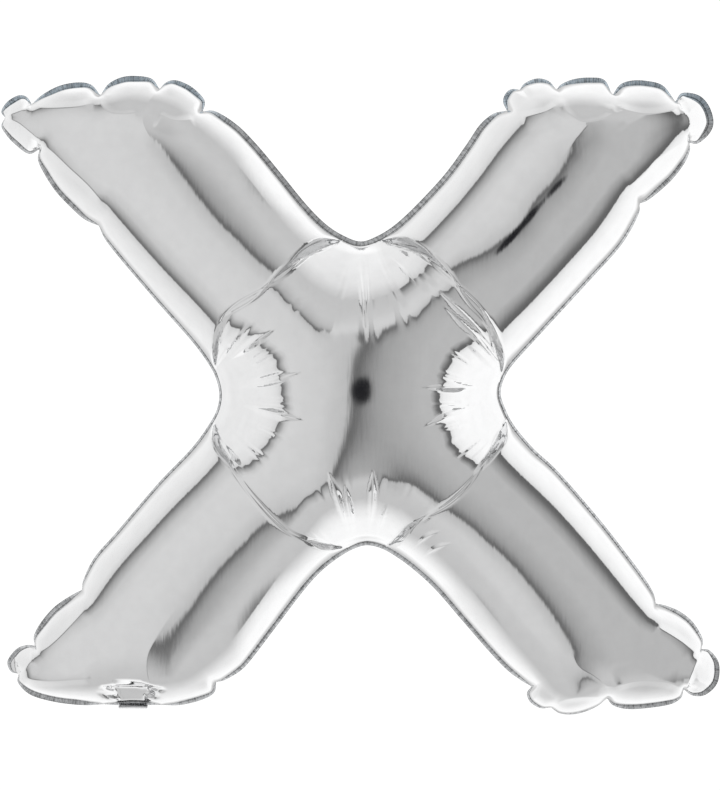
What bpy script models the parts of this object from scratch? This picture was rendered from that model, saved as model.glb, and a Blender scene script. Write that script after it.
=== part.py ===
"""Letter foil balloon in the shape of a capital X, inflated.

Two mirror-silver foils are welded together round their edge. Inside the weld they bulge out
under the gas pressure. Outside it their margins lie flat as a narrow crimped rim. The filling
neck leaves the foot of the lower left arm and is folded up behind it.

Units are metres. +X is to the right and +Z is up, as the letter is read, and the front faces
-Y. The origin is the middle of the X, in the plane of the weld.
"""

import math

import bmesh
import bpy
import numpy as np
from mathutils import Vector
from mathutils.geometry import delaunay_2d_cdt

MM = 0.001

# Driving dimensions of the envelope
WALL = 10 * MM
RIM_WIDTH = 6.5 * MM
RIM_THICKNESS = 1.2 * MM
TONGUE = 7.5 * MM
TONGUE_TAPER = 0.8
GAP = 0.3 * MM
DOME_LIMIT = 128 * MM
CROWN_WALL_LOSS = 3 * MM

# The gas fills a smooth body. The lobes and puckers of the seam show this far in from it
SMOOTHING = 20 * MM
CORNER_SMOOTHING = 24 * MM
LOBE_REACH = 30 * MM

# How finely the envelope is divided
EDGE_STEP = 15 * MM
INSIDE_STEP = 26 * MM
RING_DEPTHS = (2.4 * MM, 9 * MM, 20 * MM, 35 * MM)
INSIDE_RING_DEPTHS = (6 * MM, 24 * MM)

# The filling neck: two films with the valve's liner between them
NECK_X = -284 * MM
NECK_WIDTH = 36 * MM
FILM_THICKNESS = 0.6 * MM
LAYER_PITCH = FILM_THICKNESS + GAP
LINER_WIDTH = 28 * MM
LINER_SHOWING = 6 * MM

# The middle of the neck's inner film as (y, z) in millimetres: down from the rim's edge, round
# the fold, and up the back of the arm's end
NECK_ROUTE = (
    (0.9, -388.4),
    (1.3, -389.4),
    (2.2, -390.0),
    (4.0, -390.1),
    (12.0, -388.0),
    (24.5, -382.0),
    (33.0, -376.5),
    (41.0, -371.0),
    (50.0, -364.0),
    (58.0, -356.5),
    (64.8, -346.0),
    (75.0, -326.0),
)

# The rim's outer edge, clockwise from the left tip of the upper left arm. Each lobe is the
# pucker where it starts and the points over its crown, as (x, z) in millimetres.
UPPER_LEFT_END = (
    ((-444, 347), ((-449, 355), (-441, 367), (-427, 375), (-417, 373))),
    ((-411, 364), ((-397, 376), (-375, 387), (-352, 391), (-336, 388))),
    ((-325, 375), ((-315, 389), (-299, 397), (-282, 399), (-261, 396))),
    ((-251, 383), ((-243, 391), (-231, 394), (-213, 387), (-199, 375), (-194, 366))),
)
TOP_NOTCH = (
    (
        (-197, 355),
        (
            (-181, 355),
            (-154, 338),
            (-129, 313),
            (-98, 276),
            (-67, 238),
            (-42, 213),
            (-20, 199),
            (1, 192),
            (22, 199),
            (44, 213),
            (71, 238),
            (106, 276),
            (133, 313),
            (150, 338),
            (167, 352),
        ),
    ),
)
UPPER_RIGHT_END = (
    ((184, 356), ((179, 367), (182, 377), (190, 383))),
    ((200, 382), ((206, 390), (221, 396), (236, 393))),
    ((246, 382), ((252, 389), (267, 395), (287, 397), (306, 394))),
    ((316, 375), ((325, 388), (338, 393), (357, 393), (379, 387))),
    ((395, 367), ((403, 378), (423, 375), (436, 362), (442, 342), (437, 327), (423, 315))),
)
UPPER_RIGHT_SIDE = (((412, 316), ((413, 307), (406, 290), (388, 267), (362, 245))),)
RIGHT_NOTCH = (
    (
        (350, 240),
        (
            (348, 225),
            (327, 188),
            (287, 143),
            (218, 68),
            (191, 38),
            (180, 20),
            (176, 3),
            (180, -13),
            (192, -37),
            (217, -67),
            (248, -96),
            (300, -156),
            (336, -202),
            (358, -232),
            (368, -250),
        ),
    ),
)
LOWER_RIGHT_END = (
    ((370, -261), ((384, -264), (402, -272), (418, -286), (429, -306))),
    ((427, -318), ((438, -320), (449, -336), (447, -360), (432, -375), (416, -376))),
    ((405, -368), ((401, -380), (384, -388), (341, -393), (318, -389))),
    ((309, -379), ((298, -389), (280, -397), (263, -400), (249, -398))),
    ((239, -391), ((226, -392), (213, -384), (209, -373))),
)
BOTTOM_NOTCH = (
    (
        (215, -365),
        (
            (200, -356),
            (183, -343),
            (160, -319),
            (127, -281),
            (95, -244),
            (68, -219),
            (45, -202),
            (27, -192),
            (9, -188),
            (-7, -192),
            (-25, -202),
            (-47, -219),
            (-70, -244),
            (-108, -294),
            (-137, -332),
            (-151, -346),
            (-170, -357),
        ),
    ),
)
LOWER_LEFT_END = (
    ((-180, -359), ((-183, -373), (-200, -382), (-226, -388))),
    ((-247, -388), ((-262, -388), (-284, -388), (-306, -388))),
    ((-320, -387), ((-345, -388), (-381, -384), (-412, -375), (-428, -360))),
    ((-427, -349), ((-437, -346), (-441, -333), (-430, -318), (-417, -313))),
)
LOWER_LEFT_SIDE = (((-407, -314), ((-408, -301), (-398, -283), (-381, -264), (-360, -250))),)
LEFT_NOTCH = (
    (
        (-348, -244),
        (
            (-346, -231),
            (-332, -203),
            (-305, -172),
            (-253, -111),
            (-211, -67),
            (-189, -37),
            (-179, -18),
            (-176, 1),
            (-180, 20),
            (-189, 38),
            (-211, 68),
            (-263, 127),
            (-314, 188),
        ),
    ),
)
UPPER_LEFT_SIDE = (
    ((-327, 212), ((-345, 220), (-362, 235), (-380, 254), (-394, 275), (-403, 294))),
    ((-401, 308), ((-415, 302), (-433, 315), (-443, 326), (-449, 337))),
)
RIM_LOBES = (
    UPPER_LEFT_END
    + TOP_NOTCH
    + UPPER_RIGHT_END
    + UPPER_RIGHT_SIDE
    + RIGHT_NOTCH
    + LOWER_RIGHT_END
    + BOTTOM_NOTCH
    + LOWER_LEFT_END
    + LOWER_LEFT_SIDE
    + LEFT_NOTCH
    + UPPER_LEFT_SIDE
)

# The arms' outer corners, which the gas doesn't fill to their points, in millimetres
BLUNT_CORNERS = ((-440, 345), (425, 350), (430, -345), (-425, -345))

# The folded arcs where each arm runs into the domed middle, from notch to notch, in millimetres
ARM_FOLDS = (
    ((-176, 56), (-167, 94), (-121, 126), (-72, 168), (-29, 190)),
    ((34, 190), (82, 170), (134, 116), (155, 88), (171, 45)),
    ((-178, -44), (-167, -71), (-132, -122), (-84, -169), (-26, -188)),
    ((178, -39), (144, -94), (111, -129), (60, -161), (34, -188)),
)

# The longest gathers, which run in from the notches, in millimetres
NOTCH_FOLDS = (
    ((0, 186), (3, 140), (7, 82)),
    ((-170, 40), (-140, 62), (-106, 80)),
    ((-165, 8), (-120, 18), (-75, 27)),
    ((-165, -10), (-120, -20), (-71, -30)),
    ((168, 10), (120, 10), (80, 11)),
    ((168, -14), (130, -22), (86, -35)),
    ((-9, -182), (-22, -145), (-36, -108)),
    ((8, -182), (12, -140), (15, -100)),
    ((111, 99), (140, 70), (171, 38)),
    ((101, 118), (132, 88), (162, 56)),
)
FOLD_RISE = 2.4 * MM
FOLD_HALF_WIDTH = 6 * MM

# The film that climbs straight out of each notch as part of a round cone: the cone's centre and
# its radius at the seam in millimetres, how steep the film is there and at the fan's inner edge,
# how far in that is, and how softly it turns over into the dome, in millimetres
NOTCH_FANS = (
    ((1, 236), 51, (1.8, 0.85), 85, 22),
    ((-211, -4), 41, (1.65, 1.35), 66, 16),
    ((211, -8), 40, (1.75, 1.45), 60, 16),
    ((9, -229), 45, (2.4, 1.1), 58, 22),
)

# How fast a fan lets go of the film beyond the folded arcs, which run on past the seam this far
ARM_RELEASE = 1.5
NOTCH_OVERLAP = 30 * MM

# How the film's height changes along the arms: each arm's direction, and the share of its height
# that it keeps at each distance from the middle in millimetres
ARM_LEVELS = (
    ((-1, 1), (200, 300, 450), (1, 0.975, 0.94)),
    ((1, 1), (200, 300, 450), (1, 1.01, 1.04)),
    ((-1, -1), (200, 300, 450), (1, 0.975, 0.94)),
    ((1, -1), (200, 300, 450), (1, 0.975, 0.94)),
)

SILVER = (0.86, 0.87, 0.88, 1)
RIM_SILVER = (0.62, 0.66, 0.7, 1)
FILM_SILVER = (0.74, 0.75, 0.76, 1)
LINER_CLEAR = (0.8, 0.82, 0.82, 1)


# Plane geometry


def in_metres(points):
    return np.array(points, float) * MM


def smooth_curve(points, step):
    """Points evenly spaced by about step along a smooth curve through the given ones."""
    ends = np.vstack([2 * points[0] - points[1], points, 2 * points[-1] - points[-2]])
    dense = []
    for before, start, stop, after in zip(ends, ends[1:], ends[2:], ends[3:]):
        t = np.linspace(0, 1, 24, endpoint=False)[:, None]
        out = stop - before
        into = after - start
        dense.append(
            start
            + 0.5 * t * out
            + t**2 * (3 * (stop - start) - out - 0.5 * into)
            + t**3 * (2 * (start - stop) + 0.5 * out + 0.5 * into)
        )
    path = np.vstack(dense + [points[-1:]])
    along = np.concatenate([[0], np.cumsum(np.linalg.norm(np.diff(path, axis=0), axis=1))])
    count = max(2, round(along[-1] / step))
    places = np.linspace(0, along[-1], count + 1)
    return np.column_stack([np.interp(places, along, path[:, axis]) for axis in (0, 1)])


def rim_edge(step):
    """The rim's outer edge as a closed loop, with a sharp point at every pucker."""
    loop = []
    for lobe, following in zip(RIM_LOBES, RIM_LOBES[1:] + RIM_LOBES[:1]):
        pucker, crown = lobe
        stretch = in_metres((pucker,) + crown + (following[0],))
        loop.append(smooth_curve(stretch, step)[:-1])
    return np.vstack(loop)


def inward_normals(loop):
    """Unit normals at the points of a clockwise loop, pointing to its inside."""
    along = np.roll(loop, -1, axis=0) - np.roll(loop, 1, axis=0)
    normals = np.column_stack([along[:, 1], -along[:, 0]])
    return normals / np.linalg.norm(normals, axis=1)[:, None]


def nearest_on_lines(points, starts, stops):
    """How far each point is from the nearest straight line between starts and stops, and where.

    A place is the line's number and the share of the way along it, added."""
    line = stops - starts
    length2 = np.maximum((line**2).sum(axis=1), 1e-18)
    off = points[:, None, :] - starts[None]
    t = np.clip((off * line[None]).sum(axis=2) / length2, 0, 1)
    away = np.linalg.norm(off - t[:, :, None] * line[None], axis=2)
    rows = np.arange(len(points))
    nearest = away.argmin(axis=1)
    return away[rows, nearest], nearest + t[rows, nearest]


def distance_to_loop(points, loop):
    return nearest_on_lines(points, loop, np.roll(loop, -1, axis=0))[0]


def eased(value, low, high):
    """A smooth step from 0 at low to 1 at high."""
    t = np.clip((value - low) / (high - low), 0, 1)
    return t * t * (3 - 2 * t)


def inside_loop(points, loop):
    """Whether each point is inside the loop, by counting the edges to its right."""
    ends = np.roll(loop, -1, axis=0)
    x, z = points[:, 0][:, None], points[:, 1][:, None]
    straddles = (loop[:, 1] > z) != (ends[:, 1] > z)
    rise = np.where(ends[:, 1] == loop[:, 1], 1, ends[:, 1] - loop[:, 1])
    crossing = loop[:, 0] + (z - loop[:, 1]) * (ends[:, 0] - loop[:, 0]) / rise
    return (straddles & (x < crossing)).sum(axis=1) % 2 == 1


def evened(loop, reach, share):
    """The loop evened out over a reach along its length, where share isn't 0."""
    for _ in range(round(2 * (reach / EDGE_STEP) ** 2)):
        beside = 0.25 * (np.roll(loop, -1, axis=0) + np.roll(loop, 1, axis=0))
        loop = loop + (beside - 0.5 * loop) * share[:, None]
    return loop


def smooth_body(seam):
    """The smooth loop that the gas fills: one point for each of the seam's."""
    corners = in_metres(BLUNT_CORNERS)
    away = nearest_on_lines(seam, corners, corners)[0]
    body = evened(seam, SMOOTHING, np.ones(len(seam)))
    return evened(body, CORNER_SMOOTHING, 1 - eased(away, 45 * MM, 95 * MM))


def carried_out(points, body, seam):
    """The points over the body, carried out over the seam's lobes and in at its puckers."""
    away, places = nearest_on_lines(points, body, np.roll(body, -1, axis=0))
    fade = 1 - eased(away, 0, LOBE_REACH)
    drift = seam - body
    numbers = np.arange(len(body))
    moved = points.copy()
    for axis in (0, 1):
        moved[:, axis] += fade * np.interp(places, numbers, drift[:, axis], period=len(body))
    return moved


def eased_inset(loop, depth, step):
    """A smooth loop that keeps at least depth inside the given one, without its puckers."""
    eased = loop.copy()
    for _ in range(60):
        eased = 0.25 * np.roll(eased, 1, axis=0) + 0.5 * eased + 0.25 * np.roll(eased, -1, axis=0)
        clearance = distance_to_loop(eased, loop)
        clearance = np.where(inside_loop(eased, loop), clearance, -clearance)
        short = np.clip(depth - clearance, 0, 2 * MM)
        eased = eased + inward_normals(eased) * short[:, None]
    closed = np.vstack([eased, eased[:1]])
    along = np.concatenate([[0], np.cumsum(np.linalg.norm(np.diff(closed, axis=0), axis=1))])
    places = np.linspace(0, along[-1], round(along[-1] / step), endpoint=False)
    return np.column_stack([np.interp(places, along, closed[:, axis]) for axis in (0, 1)])


def hexagon_grid(low, high, step):
    """Points of a triangular grid that covers a box."""
    points = []
    rows = math.ceil((high[1] - low[1]) / (step * math.sqrt(0.75)))
    for row in range(rows + 1):
        z = low[1] + row * step * math.sqrt(0.75)
        x = np.arange(low[0] + (row % 2) * step / 2, high[0], step)
        points.append(np.column_stack([x, np.full(len(x), z)]))
    return np.vstack(points)


def spread(candidates, taken, spacing):
    """The points taken so far, and the candidates that keep the spacing from all others."""
    kept = np.vstack([taken, np.empty_like(candidates)])
    count = len(taken)
    for point in candidates:
        away = kept[:count] - point
        if np.min(away[:, 0] ** 2 + away[:, 1] ** 2) > spacing**2:
            kept[count] = point
            count += 1
    return kept[:count]


def points_inside(loop, step, ring_depths, folds):
    """The loop's points, then rows along the folds, rings inside the edge, and a grid."""
    points = loop
    for fold in folds:
        for side in (0, -1, 1):
            row = fold + side * FOLD_HALF_WIDTH * side_normals(fold)
            clear = inside_loop(row, loop) & (distance_to_loop(row, loop) > ring_depths[0])
            points = spread(row[clear], points, 0.3 * step)
    normals = inward_normals(loop)
    for depth in ring_depths:
        ring = loop + normals * depth
        clear = inside_loop(ring, loop) & (distance_to_loop(ring, loop) > 0.88 * depth)
        points = spread(ring[clear], points, min(0.6 * step, 0.8 * depth))
    grid = hexagon_grid(loop.min(axis=0), loop.max(axis=0), 1.25 * step)
    clear = inside_loop(grid, loop) & (distance_to_loop(grid, loop) > ring_depths[-1])
    return spread(grid[clear], points, 0.75 * step)


def side_normals(line):
    """Unit normals to the right of an open line."""
    along = np.gradient(line, axis=0)
    normals = np.column_stack([along[:, 1], -along[:, 0]])
    return normals / np.linalg.norm(normals, axis=1)[:, None]


def triangles_between(points, loops):
    """Triangles over the points, inside the first loop and outside the second if there is one.

    A loop is the indices of its points, in order."""
    edges = [(a, b) for loop in loops for a, b in zip(loop, loop[1:] + loop[:1])]
    found = delaunay_2d_cdt([Vector(p) for p in points], edges, [], 0, 1e-9, True)
    faces = np.array([[found[3][i][0] for i in face] for face in found[2]])
    middles = points[faces].mean(axis=1)
    wanted = inside_loop(middles, points[loops[0]])
    if len(loops) > 1:
        wanted &= ~inside_loop(middles, points[loops[-1]])
    return faces[wanted]


# The pressed-out form


def pressed_out(points, faces, edge_count):
    """How far a skin held at its edge stands out at each point.

    The skin's deflection u under an even pressure, on a soft bed that limits it where the form
    is wide, is solved over the triangles. The form is the root of 2u: close to a half circle
    across a long arm, and a low dome over the round middle."""
    corners = points[faces]
    opposite = corners[:, (2, 0, 1)] - corners[:, (1, 2, 0)]
    doubled = opposite[:, 0, 0] * opposite[:, 1, 1] - opposite[:, 0, 1] * opposite[:, 1, 0]
    area = np.abs(doubled) / 2
    stiffness = np.zeros((len(points), len(points)))
    load = np.zeros(len(points))
    for i in range(3):
        np.add.at(load, faces[:, i], area / 3)
        np.add.at(stiffness, (faces[:, i], faces[:, i]), area / 3 / DOME_LIMIT**2)
        for j in range(3):
            shared = (opposite[:, i] * opposite[:, j]).sum(axis=1) / (4 * area)
            np.add.at(stiffness, (faces[:, i], faces[:, j]), shared)
    free = slice(edge_count, None)
    deflection = np.zeros(len(points))
    deflection[free] = np.linalg.solve(stiffness[free, free], load[free])
    return np.sqrt(2 * np.maximum(deflection, 0))


def eased_least(first, second, blend):
    """The lesser of two heights, rounded off where they are within blend of each other."""
    near = np.maximum(blend - np.abs(first - second), 0) / blend
    return np.minimum(first, second) - near**2 * blend / 4


def beyond_middle(points):
    """How far out on an arm each point is, past the folded arcs, or 0 inside them."""
    arcs = []
    for fold in ARM_FOLDS:
        path = in_metres(fold)
        first = path[0] - path[1]
        last = path[-1] - path[-2]
        first *= NOTCH_OVERLAP / np.linalg.norm(first)
        last *= NOTCH_OVERLAP / np.linalg.norm(last)
        arcs.append(smooth_curve(np.vstack([path[0] + first, path, path[-1] + last]), EDGE_STEP))
    upper_left, upper_right, lower_left, lower_right = arcs
    ring = np.vstack([upper_left, upper_right, lower_right, lower_left[::-1]])
    starts = np.vstack([arc[:-1] for arc in arcs])
    stops = np.vstack([arc[1:] for arc in arcs])
    return np.where(inside_loop(points, ring), 0, nearest_on_lines(points, starts, stops)[0])


def fanned(points, depth, height, inset):
    """The height, with the film climbing straight out of each notch from an inset past its seam."""
    released = ARM_RELEASE * beyond_middle(points)
    for centre, radius, slopes, reach, blend in NOTCH_FANS:
        start, end = slopes
        away = np.linalg.norm(points - in_metres(centre), axis=1) - radius * MM - inset
        away = -eased_least(-away, -0.8 * depth, 8 * MM)
        near = np.clip(away, 0, reach * MM)
        climb = start * near - (start - end) * near**2 / (2 * reach * MM) + end * (away - near)
        height = eased_least(height, climb + released, blend * MM)
    return np.maximum(height, 0)


def arm_level(points):
    """How much of its height the film keeps along each arm."""
    level = np.ones(len(points))
    for direction, places, levels in ARM_LEVELS:
        towards = np.array(direction) / np.linalg.norm(direction)
        along = points @ towards
        beside = np.abs(points @ np.array([towards[1], -towards[0]]))
        share = eased(along - beside, 0, 150 * MM)
        level += share * (np.interp(along, in_metres(places), levels) - 1)
    return level


def fold_rise(points, folds):
    """How far the folds stand up from the film at each point, most in the middle of a fold."""
    rise = np.zeros(len(points))
    for fold in folds:
        away, places = nearest_on_lines(points, fold[:-1], fold[1:])
        crest = FOLD_RISE * np.sqrt(np.sin(np.pi * places / (len(fold) - 1)).clip(0))
        rise = np.maximum(rise, crest * np.clip(1 - away / FOLD_HALF_WIDTH, 0, 1))
    return rise


# Pieces


def material(name, colour, metallic, roughness):
    made = bpy.data.materials.new(name)
    made.use_nodes = True
    shader = made.node_tree.nodes["Principled BSDF"]
    shader.inputs["Base Color"].default_value = colour
    shader.inputs["Metallic"].default_value = metallic
    shader.inputs["Roughness"].default_value = roughness
    return made


def new_object(name, mesh, collection, finish):
    mesh.materials.append(finish)
    made = bpy.data.objects.new(name, mesh)
    collection.objects.link(made)
    return made


def film_form(loop, step, ring_depths, folds, inset=0):
    """The points and triangles over a loop, and how high the film stands at each point.

    The inset is how far inside the seam the loop is."""
    points = points_inside(loop, step, ring_depths, folds)
    faces = triangles_between(points, [list(range(len(loop)))])
    height = pressed_out(points, faces, len(loop))
    height = fanned(points, distance_to_loop(points, loop), height, inset)
    height = height * arm_level(points) + fold_rise(points, folds)
    height[: len(loop)] = 0
    return points, faces, height


def half_shell(name, seam, cavity, toward, collection, finish):
    """One foil: pressed out from the weld towards -Y or +Y, hollow, with a flat foot."""
    folds = [smooth_curve(in_metres(fold), EDGE_STEP) for fold in ARM_FOLDS + NOTCH_FOLDS]
    body = smooth_body(seam)
    outer, outer_faces, rise = film_form(body, EDGE_STEP, RING_DEPTHS, folds)
    outer = carried_out(outer, body, seam)

    inner, inner_faces, hollow = film_form(cavity, INSIDE_STEP, INSIDE_RING_DEPTHS, [], WALL)
    hollow *= 1 - CROWN_WALL_LOSS / hollow.max()

    foot = np.vstack([seam, cavity])
    foot_loops = [list(range(len(seam))), list(range(len(seam), len(foot)))]
    foot_faces = triangles_between(foot, foot_loops)
    foot_index = np.concatenate([np.arange(len(seam)), len(outer) + np.arange(len(cavity))])

    base = RIM_THICKNESS / 2 + GAP
    plan = np.vstack([outer, inner])
    depth = toward * (base + np.concatenate([rise, hollow]))
    shell = bmesh.new()
    vertices = [shell.verts.new((x, y, z)) for (x, z), y in zip(plan, depth)]
    for faces in (outer_faces, inner_faces + len(outer), foot_index[foot_faces]):
        for face in faces:
            shell.faces.new([vertices[i] for i in face])
    bmesh.ops.recalc_face_normals(shell, faces=shell.faces)
    mesh = bpy.data.meshes.new(name)
    shell.to_mesh(mesh)
    shell.free()
    mesh.shade_smooth()
    mesh.set_sharp_from_angle(angle=math.radians(50))
    return new_object(name, mesh, collection, finish)


def seam_rim(edge, seam, tongue, collection, finish):
    """The welded margins: flat outside the seam, with a tongue that runs in between the foils."""
    points = np.vstack([edge, seam, tongue])
    starts = (0, len(edge), len(edge) + len(seam), len(points))
    loops = [list(range(a, b)) for a, b in zip(starts, starts[1:])]
    faces = triangles_between(points, loops)
    flat = bmesh.new()
    vertices = [flat.verts.new((x, 0, z)) for x, z in points]
    for face in faces:
        flat.faces.new([vertices[i] for i in face])
    bmesh.ops.recalc_face_normals(flat, faces=flat.faces)
    mesh = bpy.data.meshes.new("seam_rim")
    flat.to_mesh(mesh)
    flat.free()
    made = new_object("seam_rim", mesh, collection, finish)
    margin = made.vertex_groups.new(name="margin")
    margin.add(list(range(starts[2])), 1, "REPLACE")
    solidify = thicken(made, RIM_THICKNESS)
    solidify.vertex_group = margin.name
    solidify.thickness_vertex_group = TONGUE_TAPER
    return made


def thicken(piece, thickness):
    solidify = piece.modifiers.new("thickness", "SOLIDIFY")
    solidify.thickness = thickness
    solidify.offset = 0
    solidify.use_even_offset = True
    return solidify


def neck_route(layers_out, longer=0):
    """The neck's route, moved outwards by a number of layers and made longer at its end."""
    route = in_metres(NECK_ROUTE)
    last = route[-1] - route[-2]
    route[-1] += longer * last / np.linalg.norm(last)
    return route + layers_out * LAYER_PITCH * side_normals(route)


def neck_layer(name, route, width, collection, finish):
    """A strip of film along a route in the YZ plane, as wide as given and centred on the neck."""
    strip = bmesh.new()
    left = [strip.verts.new((-width / 2, y, z)) for y, z in route]
    edges = [strip.edges.new(pair) for pair in zip(left, left[1:])]
    across = bmesh.ops.extrude_edge_only(strip, edges=edges)["geom"]
    right = [item for item in across if isinstance(item, bmesh.types.BMVert)]
    bmesh.ops.translate(strip, verts=right, vec=(width, 0, 0))
    bmesh.ops.recalc_face_normals(strip, faces=strip.faces)
    mesh = bpy.data.meshes.new(name)
    strip.to_mesh(mesh)
    strip.free()
    made = new_object(name, mesh, collection, finish)
    made.location.x = NECK_X
    thicken(made, FILM_THICKNESS)
    return made


def filling_neck(collection):
    """The two films of the neck and the liner between them, which shows past their ends."""
    film = material("neck_film", FILM_SILVER, 0.9, 0.3)
    clear = material("valve_film", LINER_CLEAR, 0, 0.35)
    neck_layer("neck_back_film", neck_route(0), NECK_WIDTH, collection, film)
    neck_layer("valve_liner", neck_route(1, LINER_SHOWING), LINER_WIDTH, collection, clear)
    neck_layer("neck_front_film", neck_route(2), NECK_WIDTH, collection, film)


def main():
    for existing in list(bpy.data.objects):
        bpy.data.objects.remove(existing)
    balloon = bpy.data.collections.new("letter_foil_balloon")
    bpy.context.scene.collection.children.link(balloon)

    edge = rim_edge(EDGE_STEP)
    seam = edge + inward_normals(edge) * RIM_WIDTH
    tongue = eased_inset(seam, TONGUE, INSIDE_STEP)
    cavity = eased_inset(seam, WALL, INSIDE_STEP)

    silver = material("silver_foil", SILVER, 1, 0.12)
    half_shell("front_foil", seam, cavity, -1, balloon, silver)
    half_shell("back_foil", seam, cavity, 1, balloon, silver)
    seam_rim(edge, seam, tongue, balloon, material("crimped_rim", RIM_SILVER, 1, 0.35))
    filling_neck(balloon)


main()
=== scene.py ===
"""Looks of an inflated letter foil balloon in the shape of a capital X.

Each foil is pressed out from the welded seam as a real one is: a skin held at its edge, drawn
in along its folds and puckers, stands out under an even pressure. The seam's margins, the
filling neck and the valve's liner are modelled as the thin films they are. All sizes are in
metres unless a name says otherwise; +X is to the right, +Z is up and the front faces -Y.
"""

from __future__ import annotations

import logging
import math
from dataclasses import dataclass, field
from enum import Enum

import bmesh
import bpy
import numpy as np
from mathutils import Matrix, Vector
from mathutils.geometry import delaunay_2d_cdt
from mathutils.kdtree import KDTree

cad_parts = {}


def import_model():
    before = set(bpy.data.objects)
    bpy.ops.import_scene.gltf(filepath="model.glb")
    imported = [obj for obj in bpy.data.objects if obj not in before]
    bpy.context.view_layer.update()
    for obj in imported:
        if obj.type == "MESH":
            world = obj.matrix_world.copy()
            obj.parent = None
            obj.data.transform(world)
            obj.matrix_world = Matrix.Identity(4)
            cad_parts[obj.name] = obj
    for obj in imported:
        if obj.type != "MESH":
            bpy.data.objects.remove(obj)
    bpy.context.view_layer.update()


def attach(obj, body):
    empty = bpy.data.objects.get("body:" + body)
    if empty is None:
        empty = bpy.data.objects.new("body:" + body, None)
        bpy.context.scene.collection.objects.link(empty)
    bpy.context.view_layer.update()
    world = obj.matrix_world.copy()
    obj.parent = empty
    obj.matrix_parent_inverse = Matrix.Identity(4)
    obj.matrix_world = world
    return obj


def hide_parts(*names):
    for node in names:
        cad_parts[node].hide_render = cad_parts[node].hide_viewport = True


MM = 0.001

Pairs = tuple[tuple[float, float], ...]
Array = np.ndarray
Socket = bpy.types.NodeSocket
Material = bpy.types.Material

# The rim's outer edge, clockwise from the left tip of the upper left arm, as (x, z) in
# millimetres. Each row is the pucker where a lobe starts and then the points over its crown.
RIM_LOBES: tuple[Pairs, ...] = (
    # end of the upper left arm
    ((-444, 347), (-449, 355), (-441, 367), (-427, 375), (-417, 373)),
    ((-411, 364), (-397, 376), (-375, 387), (-352, 391), (-336, 388)),
    ((-325, 375), (-315, 389), (-299, 397), (-282, 399), (-261, 396)),
    ((-251, 383), (-243, 391), (-231, 394), (-213, 387), (-199, 375), (-194, 366)),
    # top notch
    (
        (-197, 355), (-181, 355), (-154, 338), (-129, 313), (-98, 276), (-67, 238), (-42, 213),
        (-20, 199), (1, 192), (22, 199), (44, 213), (71, 238), (106, 276), (133, 313), (150, 338),
        (167, 352),
    ),
    # end of the upper right arm
    ((184, 356), (179, 367), (182, 377), (190, 383)),
    ((200, 382), (206, 390), (221, 396), (236, 393)),
    ((246, 382), (252, 389), (267, 395), (287, 397), (306, 394)),
    ((316, 375), (325, 388), (338, 393), (357, 393), (379, 387)),
    ((395, 367), (403, 378), (423, 375), (436, 362), (442, 342), (437, 327), (423, 315)),
    # its right side
    ((412, 316), (413, 307), (406, 290), (388, 267), (362, 245)),
    # right notch
    (
        (350, 240), (348, 225), (327, 188), (287, 143), (218, 68), (191, 38), (180, 20), (176, 3),
        (180, -13), (192, -37), (217, -67), (248, -96), (300, -156), (336, -202), (358, -232),
        (368, -250),
    ),
    # end of the lower right arm
    ((370, -261), (384, -264), (402, -272), (418, -286), (429, -306)),
    ((427, -318), (438, -320), (449, -336), (447, -360), (432, -375), (416, -376)),
    ((405, -368), (401, -380), (384, -388), (341, -393), (318, -389)),
    ((309, -379), (298, -389), (280, -397), (263, -400), (249, -398)),
    ((239, -391), (226, -392), (213, -384), (209, -373)),
    # bottom notch
    (
        (215, -365), (200, -356), (183, -343), (160, -319), (127, -281), (95, -244), (68, -219),
        (45, -202), (27, -192), (9, -188), (-7, -192), (-25, -202), (-47, -219), (-70, -244),
        (-108, -294), (-137, -332), (-151, -346), (-170, -357),
    ),
    # end of the lower left arm, with the filling neck on its second lobe
    ((-180, -359), (-183, -373), (-200, -382), (-226, -388)),
    ((-247, -388), (-262, -388), (-284, -388), (-306, -388)),
    ((-320, -387), (-345, -388), (-381, -384), (-412, -375), (-428, -360)),
    ((-427, -349), (-437, -346), (-441, -333), (-430, -318), (-417, -313)),
    # its left side
    ((-407, -314), (-408, -301), (-398, -283), (-381, -264), (-360, -250)),
    # left notch
    (
        (-348, -244), (-346, -231), (-332, -203), (-305, -172), (-253, -111), (-211, -67),
        (-189, -37), (-179, -18), (-176, 1), (-180, 20), (-189, 38), (-211, 68), (-263, 127),
        (-314, 188),
    ),
    # left side of the upper left arm
    ((-327, 212), (-345, 220), (-362, 235), (-380, 254), (-394, 275), (-403, 294)),
    ((-401, 308), (-415, 302), (-433, 315), (-443, 326), (-449, 337)),
)

# How wide the margin shows from the front in the middle of each lobe, in millimetres: the rest
# of its width is curled out of sight
RIM_SHOWN = (
    5.8, 6.2, 6.4, 5.6, 6.0, 5.0, 5.2, 6.2, 6.2, 6.4, 5.0, 3.6, 4.6,
    6.0, 5.6, 2.6, 3.4, 4.6, 5.0, 5.2, 6.0, 5.6, 5.8, 3.2, 5.2, 4.6,
)


class Face(Enum):
    """Which way a foil faces."""

    FRONT = -1
    BACK = 1


class Taper(Enum):
    """How a crease's strength runs from its start to its end."""

    EVEN = "even"
    FADING = "fading"
    RIDGE = "ridge"
    RUNOUT = "runout"
    BLADE = "blade"


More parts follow.
